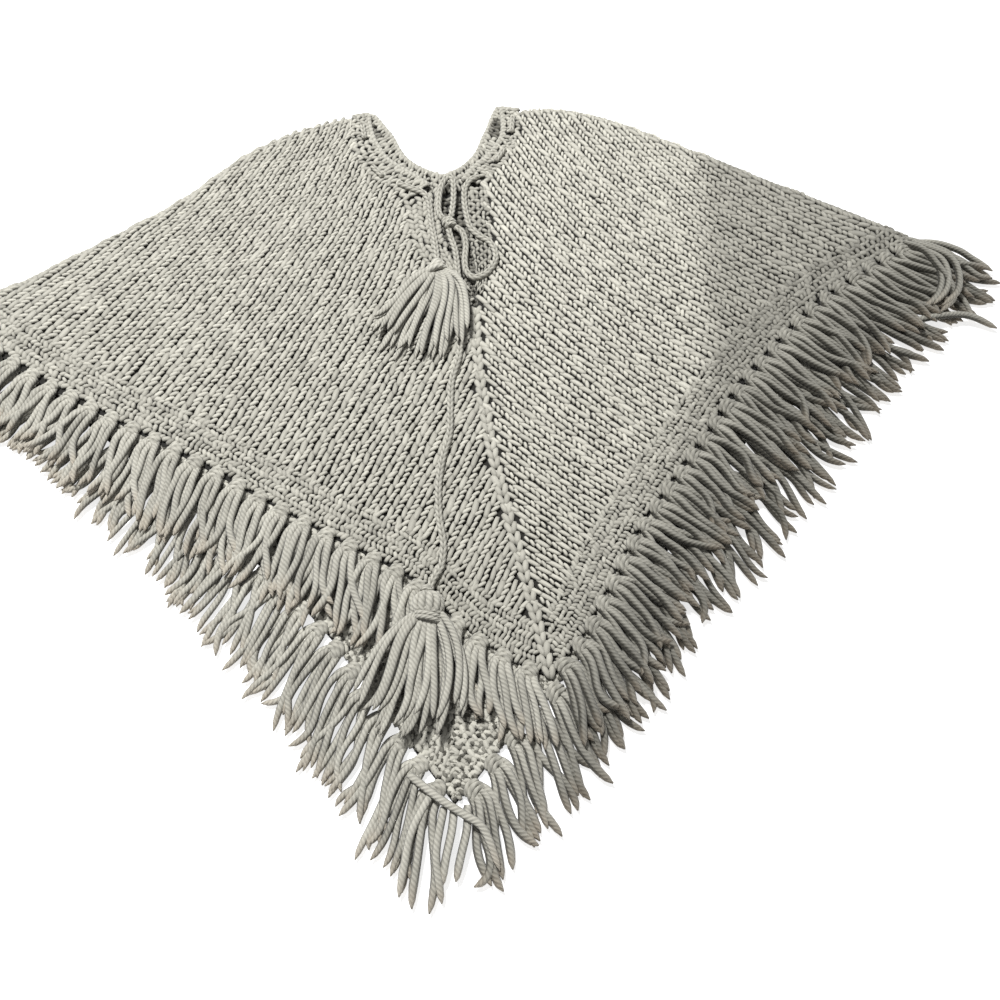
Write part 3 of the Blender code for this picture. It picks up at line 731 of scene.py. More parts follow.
def strand_lines(roots, start_angle, angle, length, bend, heights):
    """Lines [k, m, 3] that leave roots [k, 2] and lie along their own curves; heights [k, m]."""
    k, m = heights.shape
    s = np.linspace(0, 1, m)
    ease = np.clip(s / 0.30, 0, 1)
    ease = ease * ease * (3 - 2 * ease)
    heading = (start_angle[:, None] + (angle - start_angle)[:, None] * ease
               + bend[:, :1] * s ** 2 + bend[:, 1:2] * np.sin(np.pi * 2 * s + bend[:, 2:3]) * s)
    step = (length / (m - 1))[:, None, None]
    moves = np.stack([np.cos(heading), np.sin(heading)], axis=-1)[:, 1:] * step
    ways = np.concatenate([np.zeros((k, 1, 2)), np.cumsum(moves, axis=1)], axis=1)
    return np.concatenate([roots[:, None] + ways, heights[..., None]], axis=-1)


def lay_strands(yarn, lines, radius, sides, tone, deep, worn=1.0, tip_shade=0.0, lean=0.0):
    """Plied strands with frayed tips along lines [k, m, 3].

    deep is how much painted shade darkens the sides and lean how much more so on the right hand
    of a strand's way; worn is how discoloured the tips are, and tip_shade how much painted shade
    darkens them.
    """
    k, m = lines.shape[:2]
    s = np.linspace(0, 1, m)
    swell = np.interp(s, (0, 0.04, 0.82, 0.93, 1), (0.8, 1, 1, 0.78, 0.16))
    points, ring, ply = plied(lines, radius, sides, np.tile(swell, (k, 1)))
    tone = (tone + RNG.normal(0, 0.06, k))[:, None, None] - tip_shade * s[:, None]
    tone = tone + undershade(ring - lean, deep)
    lay(yarn, points, tone, ply, worn * s[None, :, None])


def fringe(layer, side, hem_table, table, rest, look):
    strands, thick, tone, deep, lean, tip_shade = LOCKS[side]
    places, outward, shares = knot_places(hem_table, side)
    count = KNOTS * strands
    base = rest(*places.T)
    yarn = Knit()
    knot_wraps(yarn, np.column_stack([places + outward * STRIP * KNOT_OUT, base + KNOT_BASE]),
               outward)
    place, angle, length = np.array(table).T
    heading = np.radians(np.interp(shares, place, angle))
    reach = np.interp(shares, place, length) * MM
    fan = np.linspace(-1, 1, strands)
    hem_way = np.stack([-outward[:, 1], outward[:, 0]], axis=1)
    offset = fan * ROOT_SPREAD
    roots = (places + outward * ROOT_OUT)[:, None] + offset[None, :, None] * hem_way[:, None]
    out_angle = np.arctan2(outward[:, 1], outward[:, 0])
    fanned = np.tile(fan, KNOTS)
    start = np.repeat(out_angle, strands) + fanned * 0.42
    angles = np.repeat(heading, strands) + fanned * 0.10 + RNG.normal(0, 0.10, count)
    lengths = np.repeat(reach, strands) * (1 + RNG.normal(-0.02, 0.07, count))
    bend = np.column_stack([RNG.normal(0, 0.30, count), RNG.normal(0, 0.32, count),
                            RNG.uniform(0, 2 * np.pi, count)])
    upper = np.tile(np.arange(strands) % 2, KNOTS)
    s = np.linspace(0, 1, STRAND_RINGS)
    lying = LYING[layer] + upper * UPPER + RNG.uniform(0, 0.6, count) * MM
    first = np.repeat(base, strands) + ROOT_RISE
    settle = np.clip(s / 0.22, 0, 1)
    heights = first[:, None] + (lying - first)[:, None] * settle ** 1.3
    if layer == "back":
        heights = heights - (upper * SINKING)[:, None] * np.clip((s - 0.45) / 0.55, 0, 1)
    sides = 9 if layer == "front" else 6
    lines = strand_lines(roots.reshape(-1, 2), start, angles, lengths, bend, heights)
    lay_strands(yarn, lines, thick / 2 * (1 + RNG.normal(0, 0.06, count)), sides, tone, deep,
                tip_shade=tip_shade, lean=lean)
    node = "fringe_%s_%s" % (layer, side)
    routes = LOOSE.get(node, ())
    if routes:
        lines = np.stack([at(curve(route), s) for route in routes])
        lay_strands(yarn, lines, np.full(len(routes), LOOSE_RADIUS), 9, 0.66, 1.1, lean=lean)
    return yarn.piece(node + "_strands", look, "fringe_yarn", node)


# ---- stitches ----
SECTION = (                # across a leg: share of its width, share of its height below the top, and how deep in painted shade it lies
    (-0.50, 1.00, -1.0),   # and how deep in shade it lies
    (-0.41, 0.17, -0.14),
    (0.00, 0.00, 0.0),
    (0.41, 0.17, -0.14),
    (0.50, 1.00, -1.0),
)
LONG = (0, 0.035, 0.2, 0.5, 0.8, 0.965, 1)     # where a leg's rings are, as shares of its length
PLUMP = (0, 0.06, 0.32, 0.68, 0.94, 1)


def leg(start, end, width, top, sink, stops, height=4.0, taper=0.13, roll=0.0, joint=0.0):
    """A plump leg of a stitch, in millimetres along and across its cell.

    sink is how far its start and its end lie lower, roll lifts one side over the other, and
    joint is how much painted shade darkens its start where it comes out over the leg before.
    Returns its points [n, 3], its faces, and how deep in painted shade each point lies, from -1 to
    0.
    """
    t = np.array(stops)
    start, end = np.array(start, float), np.array(end, float)
    way = (end - start) / np.hypot(*(end - start))
    side = np.array([-way[1], way[0]])
    plump = np.sin(np.pi * (taper + (1 - 2 * taper) * t)) ** 0.75
    share, drop, shade = (np.tile(column, (len(t), 1)) for column in np.array(SECTION).T)
    drop[[0, -1]], shade[[0, -1]] = 1, -1
    shade[1] -= joint
    low = np.interp(t, (0, 0.5, 1), (1, 0, 0)) ** 2 * sink[0]
    low += np.interp(t, (0, 0.5, 1), (0, 0, 1)) ** 2 * sink[1]
    centre = start + (end - start) * t[:, None]
    flat = centre[:, None] + (width * plump[:, None] * share)[..., None] * side
    up = (top - low)[:, None] - height * drop + roll * share
    points = np.concatenate([flat, up[..., None]], axis=-1).reshape(-1, 3)
    depth = np.minimum(shade, -0.12 * low[:, None]).reshape(-1)
    return points, sheet_faces(len(t), len(SECTION)), depth


CELL = (ROW / MM, WALE / MM)
SEED = (7.0, 6.2)        # height and width of a seed stitch, in millimetres
SLIT_STITCH = 7.4 * MM   # length of one beside and behind the slit
VEE_LENGTH = 8.6 * MM    # length of the left placket's stitches
SMOOTH_LEG = {
    "left": leg((-2.2, 4.9), (19.6, 2.5), 7.5, 6.8, (0.5, 2.2), LONG, taper=0.2, joint=0.12),
    "right": leg((-2.2, 4.9), (19.6, 2.7), 6.7, 6.8, (0.5, 2.2), LONG, taper=0.2, joint=0.12),
}
BEAD_LEG = {
    "left": leg((-1.3, 8.8), (10.4, 14.0), 5.6, 7.4, (0.9, 1.8), PLUMP, taper=0.16, roll=0.6),
    "right": leg((-0.9, 9.4), (9.8, 13.7), 4.9, 7.4, (1.2, 2.1), PLUMP, taper=0.16, roll=0.6),
}
# painted light and shade: one yarn, given darker tones on the left half and on its smooth ropes and
# lighter ones on the right half, for how the light falls on each
FIELD_TONES = {"left": (0.54, 0.69), "right": (0.72, 0.80)}    # of smooth and of beaded ropes
SEED_RISING = leg((-0.1, 0.4), (7.1, 5.8), 5.2, 7.2, (1.5, 1.5), PLUMP, taper=0.17)
SEED_FALLING = leg((-0.1, 5.8), (7.1, 0.4), 5.2, 7.2, (1.5, 1.5), PLUMP, taper=0.17)
VEE_LEFT = leg((-1.4, 2.6), (8.2, 0.6), 3.4, 6.8, (0.8, 2.0), PLUMP, taper=0.13)
VEE_RIGHT = leg((-1.4, 3.6), (8.2, 5.6), 3.4, 6.8, (0.8, 2.0), PLUMP, taper=0.13)
CREVICE_SHADE = 1.05            # painted shade: how much darker the foot of a leg is than its top
LARGE_SHARE = 0.03       # share of the stitches that are loose, and their size
LARGE = 1.22


def set_legs(yarn, cells, shape, cell=CELL, swing=0.05, vary=0.06, tone=0.60, uneven=0.05):
    """Sets a leg in every cell; cells is corners [k, row, column, 3] and normals [k, 3]."""
    corners, normals = cells
    k = len(corners)
    points, faces, depth = shape
    middle = (points[:, :2].min(0) + points[:, :2].max(0)) / 2
    turn = RNG.normal(0, swing, (k, 1))
    size = 1 + RNG.normal(0, vary, (k, 1))
    size[RNG.uniform(0, 1, k) < LARGE_SHARE] *= LARGE
    a, b = (points[:, :2] - middle).T[..., None, :] * size
    shift = RNG.normal(0, 0.4, (2, k, 1))
    along_cell = (middle[0] + a * np.cos(turn) - b * np.sin(turn) + shift[0]) / cell[0]
    across_cell = (middle[1] + a * np.sin(turn) + b * np.cos(turn) + shift[1]) / cell[1]
    high = points[None, :, 2] * MM * (1 + RNG.normal(0, 0.03, (k, 1)))
    ahead = (corners[:, 1] - corners[:, 0]).mean(1)
    aside = (corners[:, :, 1] - corners[:, :, 0]).mean(1)
    aside = aside - (aside * unit(ahead)).sum(-1, keepdims=True) * unit(ahead)
    placed = (corners.mean((1, 2))[:, None] + (along_cell - 0.5)[..., None] * ahead[:, None]
              + (across_cell - 0.5)[..., None] * aside[:, None]
              + high[..., None] * normals[:, None])
    tones = np.zeros(placed.shape)
    # painted shade: legs darkened towards their feet, ends and joints
    tones[..., 0] = tone + RNG.normal(0, uneven, (k, 1)) + CREVICE_SHADE * depth
    yarn.take_many(placed, faces, tones)


SWAY = (                 # slow wanderings of hand-knitted columns: wavelength in millimetres,
    (170, 20, 0.3, 1.4),   # direction in degrees, phase in radians, reach in millimetres
    (96, 100, 1.9, 0.8),
    (61, 65, 4.0, 0.45),
    (37, 150, 2.2, 0.2),
    (26, 40, 5.1, 0.12),
)


def swayed(points):
    """Points [..., 2] moved a little along and across the slow waves of the table."""
    moved = points.copy()
    for wavelength, direction, phase, reach in SWAY:
        angle = math.radians(direction)
        way = (points[..., 0] * math.cos(angle) + points[..., 1] * math.sin(angle)) / MM
        shift = reach * MM * np.sin(2 * np.pi * way / wavelength + phase)
        moved[..., 0] += shift * math.cos(angle + 1.1)
        moved[..., 1] += shift * math.sin(angle + 1.1)
    return moved


FRONT_ROWS = 88          # rows of stitches that reach from the hem past the shoulder and neck
BACK_ROWS = 40
PAST_POINT = 8           # steps before the hem's point, and past its end at the wing, from which
PAST_WING = 80           # columns start as well
WALES_REACH = 0.3        # unit of length of the counts below, and where each is centred
WALES_AT = {"left": (-0.25, 0.12), "right": (0.25, 0.12)}
WALES = {                # columns counted across a half, as a polynomial of the place in plan
    "left": {(1, 0): 16.61, (0, 1): -8.56, (2, 0): 1.32, (1, 1): 1.71, (0, 2): -0.66,
             (3, 0): -0.45, (2, 1): 0.10, (1, 2): 2.51, (0, 3): 0.36},
    "right": {(1, 0): 12.96, (0, 1): 13.90, (2, 0): -1.87, (1, 1): 1.76, (0, 2): -1.60,
              (3, 0): -1.00, (2, 1): -0.06, (1, 2): 0.67, (0, 3): 0.24},
}


def wale_number(points, side):
    x, y = ((points - WALES_AT[side]) / WALES_REACH).T
    return sum(share * x ** i * y ** j for (i, j), share in WALES[side].items())


def wale_direction(line, side):
    """Unit vectors along the columns of stitches, from the hem upwards."""
    x, y = ((line - WALES_AT[side]) / WALES_REACH).T
    slope = np.zeros_like(line)
    for (i, j), share in WALES[side].items():
        if i:
            slope[:, 0] += share * i * x ** (i - 1) * y ** j
        if j:
            slope[:, 1] += share * j * x ** i * y ** (j - 1)
    return unit(np.stack([-slope[:, 1], slope[:, 0]], axis=1))


def wale_grid(hem_table, side, rows):
    """Grid [rows + 1, wales + 1, 2] of the corners of the stitches, from the hem upwards."""
    hem = curve(hem_table)
    before, after = (hem[0] - hem[4]) / 4, (hem[-1] - hem[-40]) / 39
    hem = np.vstack([hem[0] + before * np.arange(PAST_POINT, 0, -1)[:, None], hem,
                     hem[-1] + after * np.arange(1, PAST_WING + 1)[:, None]])
    number = wale_number(hem, side)
    if side == "left":
        hem, number = hem[::-1], number[::-1]
    whole = np.arange(math.ceil(number[0]), math.floor(number[-1]) + 1)
    line = np.stack([np.interp(whole, number, column) for column in hem.T], axis=1)
    grid = [line]
    for _ in range(rows):
        halfway = line + wale_direction(line, side) * ROW / 2
        line = line + wale_direction(halfway, side) * ROW
        grid.append(line)
    return swayed(np.stack(grid))


def cell_centres(grid):
    return (grid[:-1, :-1] + grid[1:, :-1] + grid[:-1, 1:] + grid[1:, 1:]) / 4


def front_surface(points, side):
    """Places and normals [n, 3] of the front's shell, which folds over along the shoulder."""
    shoulder = curve(SHOULDER[side])
    gap, foot = near_line(points, shoulder)
    outline = front_outline(side)
    signed = np.where(inside(points, outline), gap, -gap)
    away = unit((foot - points) * np.where(signed > 0, 1, -1)[:, None])
    turn = np.clip((FOLD_RADIUS - signed) / FOLD_TURN, 0, np.pi)
    turn = np.where(gap > 3 * FOLD_RADIUS, 0, turn)
    folded = turn > 0
    x, y = points.T
    height = front_rest(x, y) + LINING * 0.5
    pivot = foot - away * FOLD_RADIUS
    radius = np.where(turn < np.pi / 2, height - FOLD_CENTRE, FOLD_CENTRE - LINING * 0.5)
    reach = (np.sin(turn) * (FOLD_RADIUS - FOLD_TUCK))[:, None]
    flat = np.where(folded[:, None], pivot + away * reach, points)
    z = np.where(folded, FOLD_CENTRE + radius * np.cos(turn), height)
    normals = np.column_stack([away * np.sin(turn)[:, None], np.cos(turn)])
    return np.column_stack([flat, z]), normals


def closed_outline(hem, *others):
    """An outline in metres along a hem and back along the other tables."""
    return np.vstack([curve(hem)] + [curve(table)[::-1] for table in others])


def front_outline(side):
    return closed_outline(HEM_FRONT[side], SHOULDER[side], BAND_OUTER[side], SLIT[side], SPINE)


def back_outline(side):
    return closed_outline(HEM_BACK[side], SHOULDER[side], BAND_BACK_OUTER[side], SPINE_BACK)


def grid_cells(places, normals, keep):
    """Corners and normals of the kept cells of a grid."""
    corners = np.stack([np.stack([places[:-1, :-1], places[:-1, 1:]], 2),
                        np.stack([places[1:, :-1], places[1:, 1:]], 2)], 2)
    middle = unit(normals[:-1, :-1] + normals[1:, :-1] + normals[:-1, 1:] + normals[1:, 1:])
    return corners[keep], middle[keep]


def all_cells(places):
    return np.ones((places.shape[0] - 1, places.shape[1] - 1), bool)


def upward(places):
    """Normals that point straight up."""
    normals = np.zeros_like(places)
    normals[..., 2] = 1
    return normals


def knit_front(side, look):
    grid = wale_grid(HEM_FRONT[side], side, FRONT_ROWS)
    field, edge = Knit(), Knit()
    (places, normals, keep), parity = front_cells(grid, side)
    row = rows_of(parity)
    beads = grid_cells(places, normals, keep & (row >= BORDER_ROWS))
    long_ones = grid_cells(places, normals, keep & (row >= BORDER_ROWS - 1) & (parity == 0))
    long_tone, bead_tone = FIELD_TONES[side]
    set_legs(field, long_ones, SMOOTH_LEG[side], vary=0.08, tone=long_tone)
    set_legs(field, beads, BEAD_LEG[side], swing=0.10, vary=0.08, tone=bead_tone)
    hem = resampled(grid[:BORDER_ROWS + 1], SEED_ROWS, 5 * (grid.shape[1] - 1) // 2)
    cells, parity = front_cells(hem, side)
    seed(edge, *cells, rows_of(parity) % 2 == 0, grow=1.12)
    shoulder = curve(SHOULDER[side])
    inwards = outward_normals(shoulder) * (-1 if side == "left" else 1)
    edge_rope(edge, shoulder + inwards * FOLD_INSET, on_floor, SHOULDER_ROPE, FOLD_CENTRE)
    return [field.piece("front_knit_" + side, look, "knit_yarn"),
            edge.piece("front_border_" + side, look, "knit_yarn")]


def rows_of(table):
    return np.arange(table.shape[0])[:, None] + np.zeros(table.shape, int)


def resampled(grid, rows, columns):
    """The grid with its cells shared out again, over other numbers of rows and columns."""
    for axis, count in ((0, rows), (1, columns)):
        where = np.linspace(0, grid.shape[axis] - 1, count + 1)
        low = np.minimum(where.astype(int), grid.shape[axis] - 2)
        share = (where - low).reshape([-1 if i == axis else 1 for i in range(3)])
        grid = np.take(grid, low, axis) * (1 - share) + np.take(grid, low + 1, axis) * share
    return grid


def front_cells(grid, side):
    """Places, normals and which cells to knit on half the front, and 0 or 1 by turns over them."""
    centres = cell_centres(grid)
    rows, wales = centres.shape[:2]
    flat = centres.reshape(-1, 2)
    within = inside(flat, front_outline(side))
    over, _ = near_line(flat, curve(SHOULDER[side]))
    spine_gap, _ = near_line(flat, curve(SPINE))
    slit_gap, _ = near_line(flat, np.vstack([curve(SLIT[side]), curve(BAND_OUTER[side])]))
    keep = (within | (over < FOLD_PAST)) & (spine_gap > BRAID_HALF * 0.75)
    keep &= within | (slit_gap > 6 * MM)
    keep = keep.reshape(rows, wales)
    places, normals = front_surface(grid.reshape(-1, 2), side)
    places = places.reshape(rows + 1, wales + 1, 3)
    normals = normals.reshape(rows + 1, wales + 1, 3)
    return (places, normals, keep), by_turns(rows, wales)


def by_turns(rows, columns):
    return (np.arange(rows)[:, None] + np.arange(columns)[None]) % 2


def seed(yarn, places, normals, keep, rising=None, tone=0.54, grow=1.0):
    """Seed stitch: bumps that slant to either side by turns, grown past their cells."""
    if rising is None:
        rising = by_turns(*keep.shape) == 0
    cell = (SEED[0] / grow, SEED[1] / grow)
    for shape, cells in ((SEED_RISING, keep & rising), (SEED_FALLING, keep & ~rising)):
        set_legs(yarn, grid_cells(places, normals, cells), shape, cell, swing=0.34, vary=0.14,
                 tone=tone, uneven=0.08)


def strip_cells(one, other, across, length, rest):
    """Cells of a strip between two lines: its columns run from one line to the other."""
    mean = (run(one)[-1] + run(other)[-1]) / 2
    count = max(2, round(mean / length))
    share = spaced(count)
    a, b = at(one, share), at(other, share)
    v = spaced(across)[:, None, None]
    grid = a[None] * (1 - v) + b[None] * v
    z = rest(grid[..., 0], grid[..., 1]) + LINING * 0.5
    places = np.concatenate([grid, z[..., None]], axis=-1)
    return places, upward(places)


BAND_STITCHES = 4        # stitches across the neckband, and their length along it
BAND_STITCH = 6.4 * MM
MOUTH_REACH = 11 * MM    # how far round its mouths the back's band is painted in shade
EYELET_REACH = 4.5 * MM  # how far round an eyelet the front's band is open
BAND_ROPE = 8 * MM       # thickness of the rope round the neck, and the height of its middle
BAND_ROPE_RISE = 4.2 * MM
ROPE_STEP = 3.4 * MM     # distance between the rings of a rope


def neckbands(look, shade_lining):
    for side in SIDES:
        band("neckband_front_" + side, curve(BAND_OUTER[side]), curve(BAND_INNER[side]),
             front_rest, look, shade_lining, flip=side == "right")
    outer, inner = (np.vstack([curve(table["left"])[::-1], curve(table["right"])[1:]])
                    for table in (BAND_BACK_OUTER, NECK_EDGE))
    band("neckband_back", outer, inner, on_floor, look, shade_lining, flip=True)


def band(name, outer, inner, rest, look, shade_lining, flip):
    lines = (outer, inner) if flip else (outer[::-1], inner[::-1])
    places, normals = strip_cells(*lines, BAND_STITCHES, BAND_STITCH, rest)
    centre = places[:-1, :-1, :2] / 2 + places[1:, 1:, :2] / 2
    shaded = name == "neckband_back"
    holes = np.array(MOUTHS if shaded else eyelets()) * MM
    gap = np.hypot(*(centre[:, :, None] - holes).transpose(3, 0, 1, 2)).min(-1)
    keep = gap > (MOUTH_REACH if shaded else EYELET_REACH)
    yarn = Knit()
    seed(yarn, places, normals, keep, grow=1.08)
    # painted shade: the back's band is knit near-black round the mouths under the front's band
    if shaded:
        seed(yarn, places, normals, ~keep, tone=0.05)
    rim = np.vstack([outer[:1] if shaded else inner[:0], inner, outer[-1:]])
    edge_rope(yarn, rim, rest, BAND_ROPE, BAND_ROPE_RISE)
    yarn.piece(name + "_knit", look, "knit_yarn", name)
    slab_piece(name + "_shell", places[..., :2], rest, shade_lining)


def eyelets():
    """Centres of the holes through the front neckband, in millimetres."""
    holes = [CORD_SHORT[0][:2], LOOP_LARGE[0][:2]]
    for ax, ay, bx, by in STITCHED_CORD.values():
        holes += [(ax, ay), (bx, by)]
    return holes


def slab_piece(name, grid, rest, look, *nodes):
    """A closed thin shell over a grid [rows, columns, 2]."""
    rows, columns = grid.shape[:2]
    base = rest(grid[..., 0], grid[..., 1])
    low = np.concatenate([grid, base[..., None]], -1).reshape(-1, 3)
    high = low + [0, 0, LINING]
    faces = sheet_faces(rows, columns)
    count = rows * columns
    index = np.arange(count).reshape(rows, columns)
    rim = np.concatenate([index[0], index[1:, -1], index[-1, -2::-1], index[-2:0:-1, 0]])
    after = np.roll(rim, -1)
    walls = np.stack([rim, after, after + count, rim + count], axis=1)
    yarn = Knit()
    points = np.vstack([low, high])
    whole = np.vstack([faces[:, ::-1], faces + count, walls])
    yarn.take(points, whole, np.zeros((len(points), 3)))
    return yarn.piece(name, look, "knit_yarn", *nodes)


def plackets(look, shade_lining):
    for side in SIDES:
        slit = at(curve(SLIT[side]), np.linspace(0.09, 1, 40))
        edge = curve(PLACKET_EDGE[side])
        if side == "left":
            places, normals = strip_cells(slit, edge, 3, VEE_LENGTH, front_rest)
        else:
            places, normals = strip_cells(edge, slit, 5, SLIT_STITCH, front_rest)
        places, normals = places.transpose(1, 0, 2), normals.transpose(1, 0, 2)
        yarn = Knit()
        if side == "left":
            cells = grid_cells(places, normals, all_cells(places))
            for shape in (VEE_LEFT, VEE_RIGHT):
                set_legs(yarn, cells, shape, SEED, swing=0.08, tone=0.52)
        else:
            # painted shade: the right placket's seed stitch in a darker tone
            seed(yarn, places, normals, all_cells(places), tone=0.42)
        yarn.piece("placket_%s_knit" % side, look, "knit_yarn", "placket_" + side)
        slab_piece("placket_%s_shell" % side, places[..., :2], front_rest, shade_lining)


def behind_slit(look):
    """The back's knit where it shows through the slit."""
    lines = [at(curve(SLIT[side]), np.linspace(0.02, 1, 30)) for side in SIDES]
    places, normals = strip_cells(*lines, 12, SLIT_STITCH, on_floor)
    yarn = Knit()
    # painted shade: the back's knit inside the slit is given a near-black tone
    seed(yarn, places, normals, all_cells(places), tone=0.14)
    return yarn.piece("back_knit_slit", look, "knit_yarn")


def braid(look):
    """The braided centre line: big V's that point down to the hem."""
    spine = curve(SPINE)
    line = at(spine, spaced(round(run(spine)[-1] / BRAID_PITCH) + 1))
    way = unit(np.gradient(line, axis=0))
    side = np.stack([way[:, 1], -way[:, 0]], axis=1)
    z = front_rest(*line.T) + LINING * 0.5
    places = np.stack([np.column_stack([line + side * half, z])
                       for half in (-BRAID_HALF, BRAID_HALF)], axis=1)
    cells = grid_cells(places, upward(places), all_cells(places))
    yarn = Knit()
    for start, end in (((-0.22, 0.47), (1.10, 0.20)), ((-0.22, 0.53), (1.10, 0.80))):
        shape = leg(np.multiply(start, CELL), np.multiply(end, CELL), 5.8, 7.4, (2.6, 2.0),
                    PLUMP, height=4.4, taper=0.12)
        set_legs(yarn, cells, shape, swing=0.04, vary=0.04)
    return yarn.piece("front_braid", look, "knit_yarn")


# ---- panels' shells ----
def panel_shell(name, halves, rest, look, node):
    """The thin shell that carries a panel's stitches, of two halves that meet at the middle."""
    grid = np.concatenate([halves["left"][:, ::-1], halves["right"][:, 1:]], axis=1)
    return slab_piece(name, grid, rest, look, node)


def coons(hem, top, inner, outer, across, up):
    """Grid of points between four edges; across and up are its columns' and rows' fractions."""
    u = np.asarray(across)[None, :, None]
    v = np.asarray(up)[:, None, None]
    ruled = (1 - v) * hem[None] + v * top[None] + (1 - u) * inner[:, None] + u * outer[:, None]
    corners = ((1 - u) * (1 - v) * hem[0] + u * (1 - v) * hem[-1]
               + (1 - u) * v * top[0] + u * v * top[-1])
    return ruled - corners


def half_grid(hem_table, stretches, spine, columns, up):
    """Points of half a panel; stretches are its upper edge's tables and their shares of columns."""
    across = spaced(columns)
    parts = [at(curve(table), spaced(share)) for table, share in stretches]
    way = 1 if parts[-1][-1, 0] < 0 else -1
    parts[-1] = parts[-1] - outward_normals(parts[-1]) * way * FOLD_INSET
    parts[-2][-1] = parts[-1][0]
    top = chords(np.vstack([parts[0]] + [part[1:] for part in parts[1:]]), across)
    hem = chords(at(curve(hem_table), spaced(KNOTS)), across)
    hem = hem - outward_normals(hem) * way * STRIP
    outer = at(np.vstack([hem[-1], top[-1]]), up)
    return coons(hem, top, at(curve(spine), up), outer, across, up)


def shells(shade_lining):
    up = np.linspace(0, 1, 25)
    front = {side: half_grid(HEM_FRONT[side], ((SLIT[side], 7), (BAND_OUTER[side], 6),
                                               (SHOULDER[side], 15)), SPINE, 2 * KNOTS, up)
             for side in SIDES}
    back = {side: half_grid(HEM_BACK[side], ((BAND_BACK_OUTER[side], 6), (SHOULDER[side], 22)),
                            SPINE_BACK, 2 * KNOTS, up)
            for side in SIDES}
    return (panel_shell("front_shell", front, front_rest, shade_lining, "front_panel"),
            panel_shell("back_shell", back, on_floor, shade_lining, "back_panel"))


def edge_rope(yarn, line, rest, thick, rise):
    """The rolled chain of stitches that ends an edge, along a line in plan."""
    count = round(run(line)[-1] / ROPE_STEP)
    x, y = swayed(at(line, spaced(count))).T
    path = np.stack([x, y, rest(x, y) + rise], axis=1)[None]
    way = np.arange(count + 1)
    swell = np.interp(way, (0, 1, count - 1, count), (0.6, 1, 1, 0.6))
    swell = swell * (1 + 0.1 * np.sin(2.3 * way))
    points, ring, ply = plied(path, np.array([thick / 2]), 8, swell[None], plies=2, pitch=-15 * MM)
    lay(yarn, points, 0.54 + undershade(ring, 0.4), ply)


POINT_ROWS = 42          # rows of seed stitch over the rows of the back
BACK_UNDER = 14 * MM     # how far in under the front's hem the back's stitches go
CREASED = 0.62           # height of the bumps that cross under the others in the crumpled point, painted near-black as shade


def knit_back(side, look):
    grid = wale_grid(HEM_BACK[side], side, BACK_ROWS)
    grid = resampled(grid, POINT_ROWS, 2 * (grid.shape[1] - 1))
    centres = cell_centres(grid)
    flat = centres.reshape(-1, 2)
    keep = inside(flat, back_outline(side))
    covered = inside(flat, np.vstack([front_outline("left"), front_outline("right")[::-1]]))
    hem = np.vstack([curve(HEM_FRONT["left"])[::-1], curve(HEM_FRONT["right"])])
    gap, _ = near_line(flat, hem)
    keep &= ~covered | (gap < BACK_UNDER)
    keep = keep.reshape(centres.shape[:2])
    z = np.full((*grid.shape[:2], 1), LINING * 0.5)
    places = np.concatenate([grid, z], -1)
    normals = upward(places)
    yarn = Knit()
    rising = by_turns(*keep.shape) == 0
    seed(yarn, places, normals, keep, rising, tone=0.72, grow=1.30)
    # painted shade: the bumps that cross under the others are given a near-black tone
    seed(yarn, places, normals * CREASED, keep, ~rising, tone=0.08)
    return yarn.piece("back_knit_" + side, look, "knit_yarn")


# ---- tassels and knot ----
OVER_CORD_REACH = 18 * MM


def over_cord(x, y):
    """Extra height where a tassel's strands cross the long end of the drawstring."""
    line = curve(CORD_LONG)[:, :2]
    points = np.stack([np.ravel(x), np.ravel(y)], axis=1)
    gap, _ = near_line(points, line)
    return ((CORD + SEAM) * np.exp(-(gap / OVER_CORD_REACH) ** 4)).reshape(np.shape(x))


def bent(roots, ends, start_angle, end_angle, pull=0.36):
    """Curves in plan [k, m, 2] that leave roots and reach ends in given directions."""
    t = np.linspace(0, 1, STRAND_RINGS)[None, :, None]
    reach = np.hypot(*(ends - roots).T)[:, None] * pull
    first = roots + reach * np.stack([np.cos(start_angle), np.sin(start_angle)], axis=1)
    last = ends - reach * np.stack([np.cos(end_angle), np.sin(end_angle)], axis=1)
    return ((1 - t) ** 3 * roots[:, None] + 3 * (1 - t) ** 2 * t * first[:, None]
            + 3 * (1 - t) * t ** 2 * last[:, None] + t ** 3 * ends[:, None])


# layers of a tassel from the lowest: how many strands, their level, thickness and length
TASSEL_LAYERS = ((11, 0, 0.9, 1.06), (7, 0.5, 0.9, 1.0), (9, 1, 1.04, 0.94))
LAYER_LOW = 4.9 * MM     # height of the lowest layer, and how much higher the top one lies
LAYER_RISE = 7.0 * MM


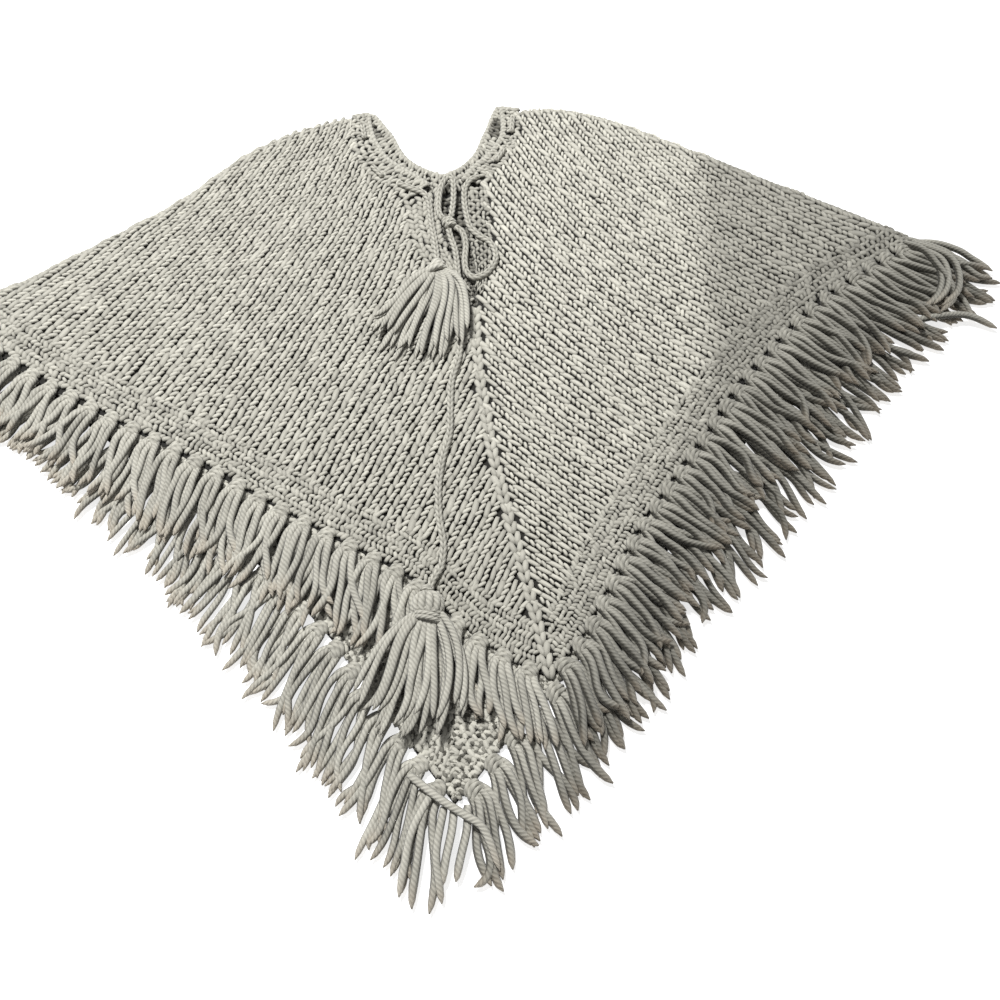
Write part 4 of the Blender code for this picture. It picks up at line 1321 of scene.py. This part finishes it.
def tassel(name, sizes, look):
    """A skirt of strands and a bound head, which is returned."""
    yarn = Knit()
    lift = sizes["lift"] * MM
    binding = curve(sizes["binding"])
    ends_line = curve(sizes["ends"])
    s = np.linspace(0, 1, STRAND_RINGS)
    for count, level, size, short in TASSEL_LAYERS:
        share = (np.arange(count) + 0.5) / count
        share = np.clip(share + RNG.normal(0, 0.25 / count, count), 0, 1)
        roots = at(binding, 0.10 + 0.80 * share)
        ends = at(ends_line, np.clip(share + RNG.normal(0, 0.05, count), 0, 1))
        ends = roots + (ends - roots) * (short + RNG.normal(0, 0.06, (count, 1)))
        fan, finish = (np.radians(np.interp(share, (0, 0.5, 1), sizes[key]))
                       + RNG.normal(0, spread, count)
                       for key, spread in (("leaving", 0.12), ("arriving", 0.2)))
        plan = bent(roots, ends, fan, finish)
        ground = front_rest(plan[..., 0], plan[..., 1]) + WALL + SEAM + lift
        z = ground + over_cord(plan[..., 0], plan[..., 1]) + LAYER_LOW + LAYER_RISE * level
        high = ground[:, :1] + (6 + 6 * level) * MM
        z = high + (z - high) * np.clip(s / 0.3, 0, 1)
        lines = np.concatenate([plan, z[..., None]], axis=-1)
        lay_strands(yarn, lines, STRAND / 2 * size * (1 + RNG.normal(0, 0.04, count)), 9,
                    0.57, 1.15, worn=0.8)
    yarn.piece(name + "_strands", look, "cord_yarn", name + "_skirt")
    yarn = Knit()
    x, y, z = (value * MM for value in sizes["head"])
    length, width, height = (value * MM / 2 for value in sizes["head_size"])
    centre = np.array([x, y, front_top(x, y) + z])
    axis = (0.0, -1.0)
    if name == "tassel_long":
        ball(yarn, centre, axis, (width * 0.92, length * 0.86, height * 0.86), 11, 10 * MM)
        neck = centre + [0, -13 * MM, 0]
        wound(yarn, neck, axis, np.array([-5, 0, 5]) * MM, 13.6 * MM, 9.8 * MM, 6.6 * MM, 0.22)
        knob = centre + [-2.5 * MM, 19 * MM, -1 * MM]
        knob_size = np.array([4, 5.6, 4]) * MM
        wound(yarn, knob, axis, np.array([-3, 0, 3]) * MM, knob_size, knob_size, 4.8 * MM, 0.1)
    else:
        wound(yarn, centre, axis, np.array([-8.5, -2.5, 4.5]) * MM,
              np.array([4.5, 8.2, 10.0]) * MM, np.array([4.6, 7.4, 9.4]) * MM, 9 * MM, -0.38,
              tone=0.72)
    return yarn.piece(name + "_wrap", look, "cord_yarn", name + "_head")


def bow_knot(look):
    yarn = Knit()
    x, y, lift = (value * MM for value in KNOT_AT)
    centre = np.array([x, y, front_top(x, y) + SEAM + CORD / 2 + lift])
    wound(yarn, centre, (0.45, -0.893), np.array([-5.2, 0, 5.2]) * MM,
          np.array([5.6, 7.2, 5.6]) * MM, np.array([4.6, 5.6, 4.6]) * MM, 6.6 * MM, 0.25)
    wound(yarn, centre, (0.893, 0.45), np.array([-3.4, 3.4]) * MM, 5.4 * MM, 4.2 * MM, 6.0 * MM,
          0.3)
    yarn.piece("bow_knot_wrap", look, "cord_yarn", "bow_knot")


# ---- everything ----
studio()
knit_look = wool("knit_wool", YARN, YARN_SHADED, YARN)
fringe_look = wool("fringe_wool", YARN, YARN_SHADED, YARN_TIP)
cord_look = wool("cord_wool", YARN, YARN_SHADED, YARN_TIP)
# painted shade on the shells under the stitches
shade_lining_look = wool("knit_shade", SHADE, SHADE, SHADE)

cords = drawstring(cord_look)
bow_knot(cord_look)
heads = {name: tassel(name, sizes, cord_look) for name, sizes in TASSELS.items()}

front_shell, back_shell = shells(shade_lining_look)
front_knit = knit_front("left", knit_look) + knit_front("right", knit_look) + [braid(knit_look)]
back_knit = [knit_back(side, knit_look) for side in SIDES]
back_knit.append(behind_slit(knit_look))
neckbands(knit_look, shade_lining_look)
plackets(knit_look, shade_lining_look)
for side in SIDES:
    for layer, hem, table, rest in (("front", HEM_FRONT, FRINGE_FRONT, front_rest),
                                    ("back", HEM_BACK, FRINGE_BACK, on_floor)):
        fringe(layer, side, hem[side], table[side], rest, fringe_look)
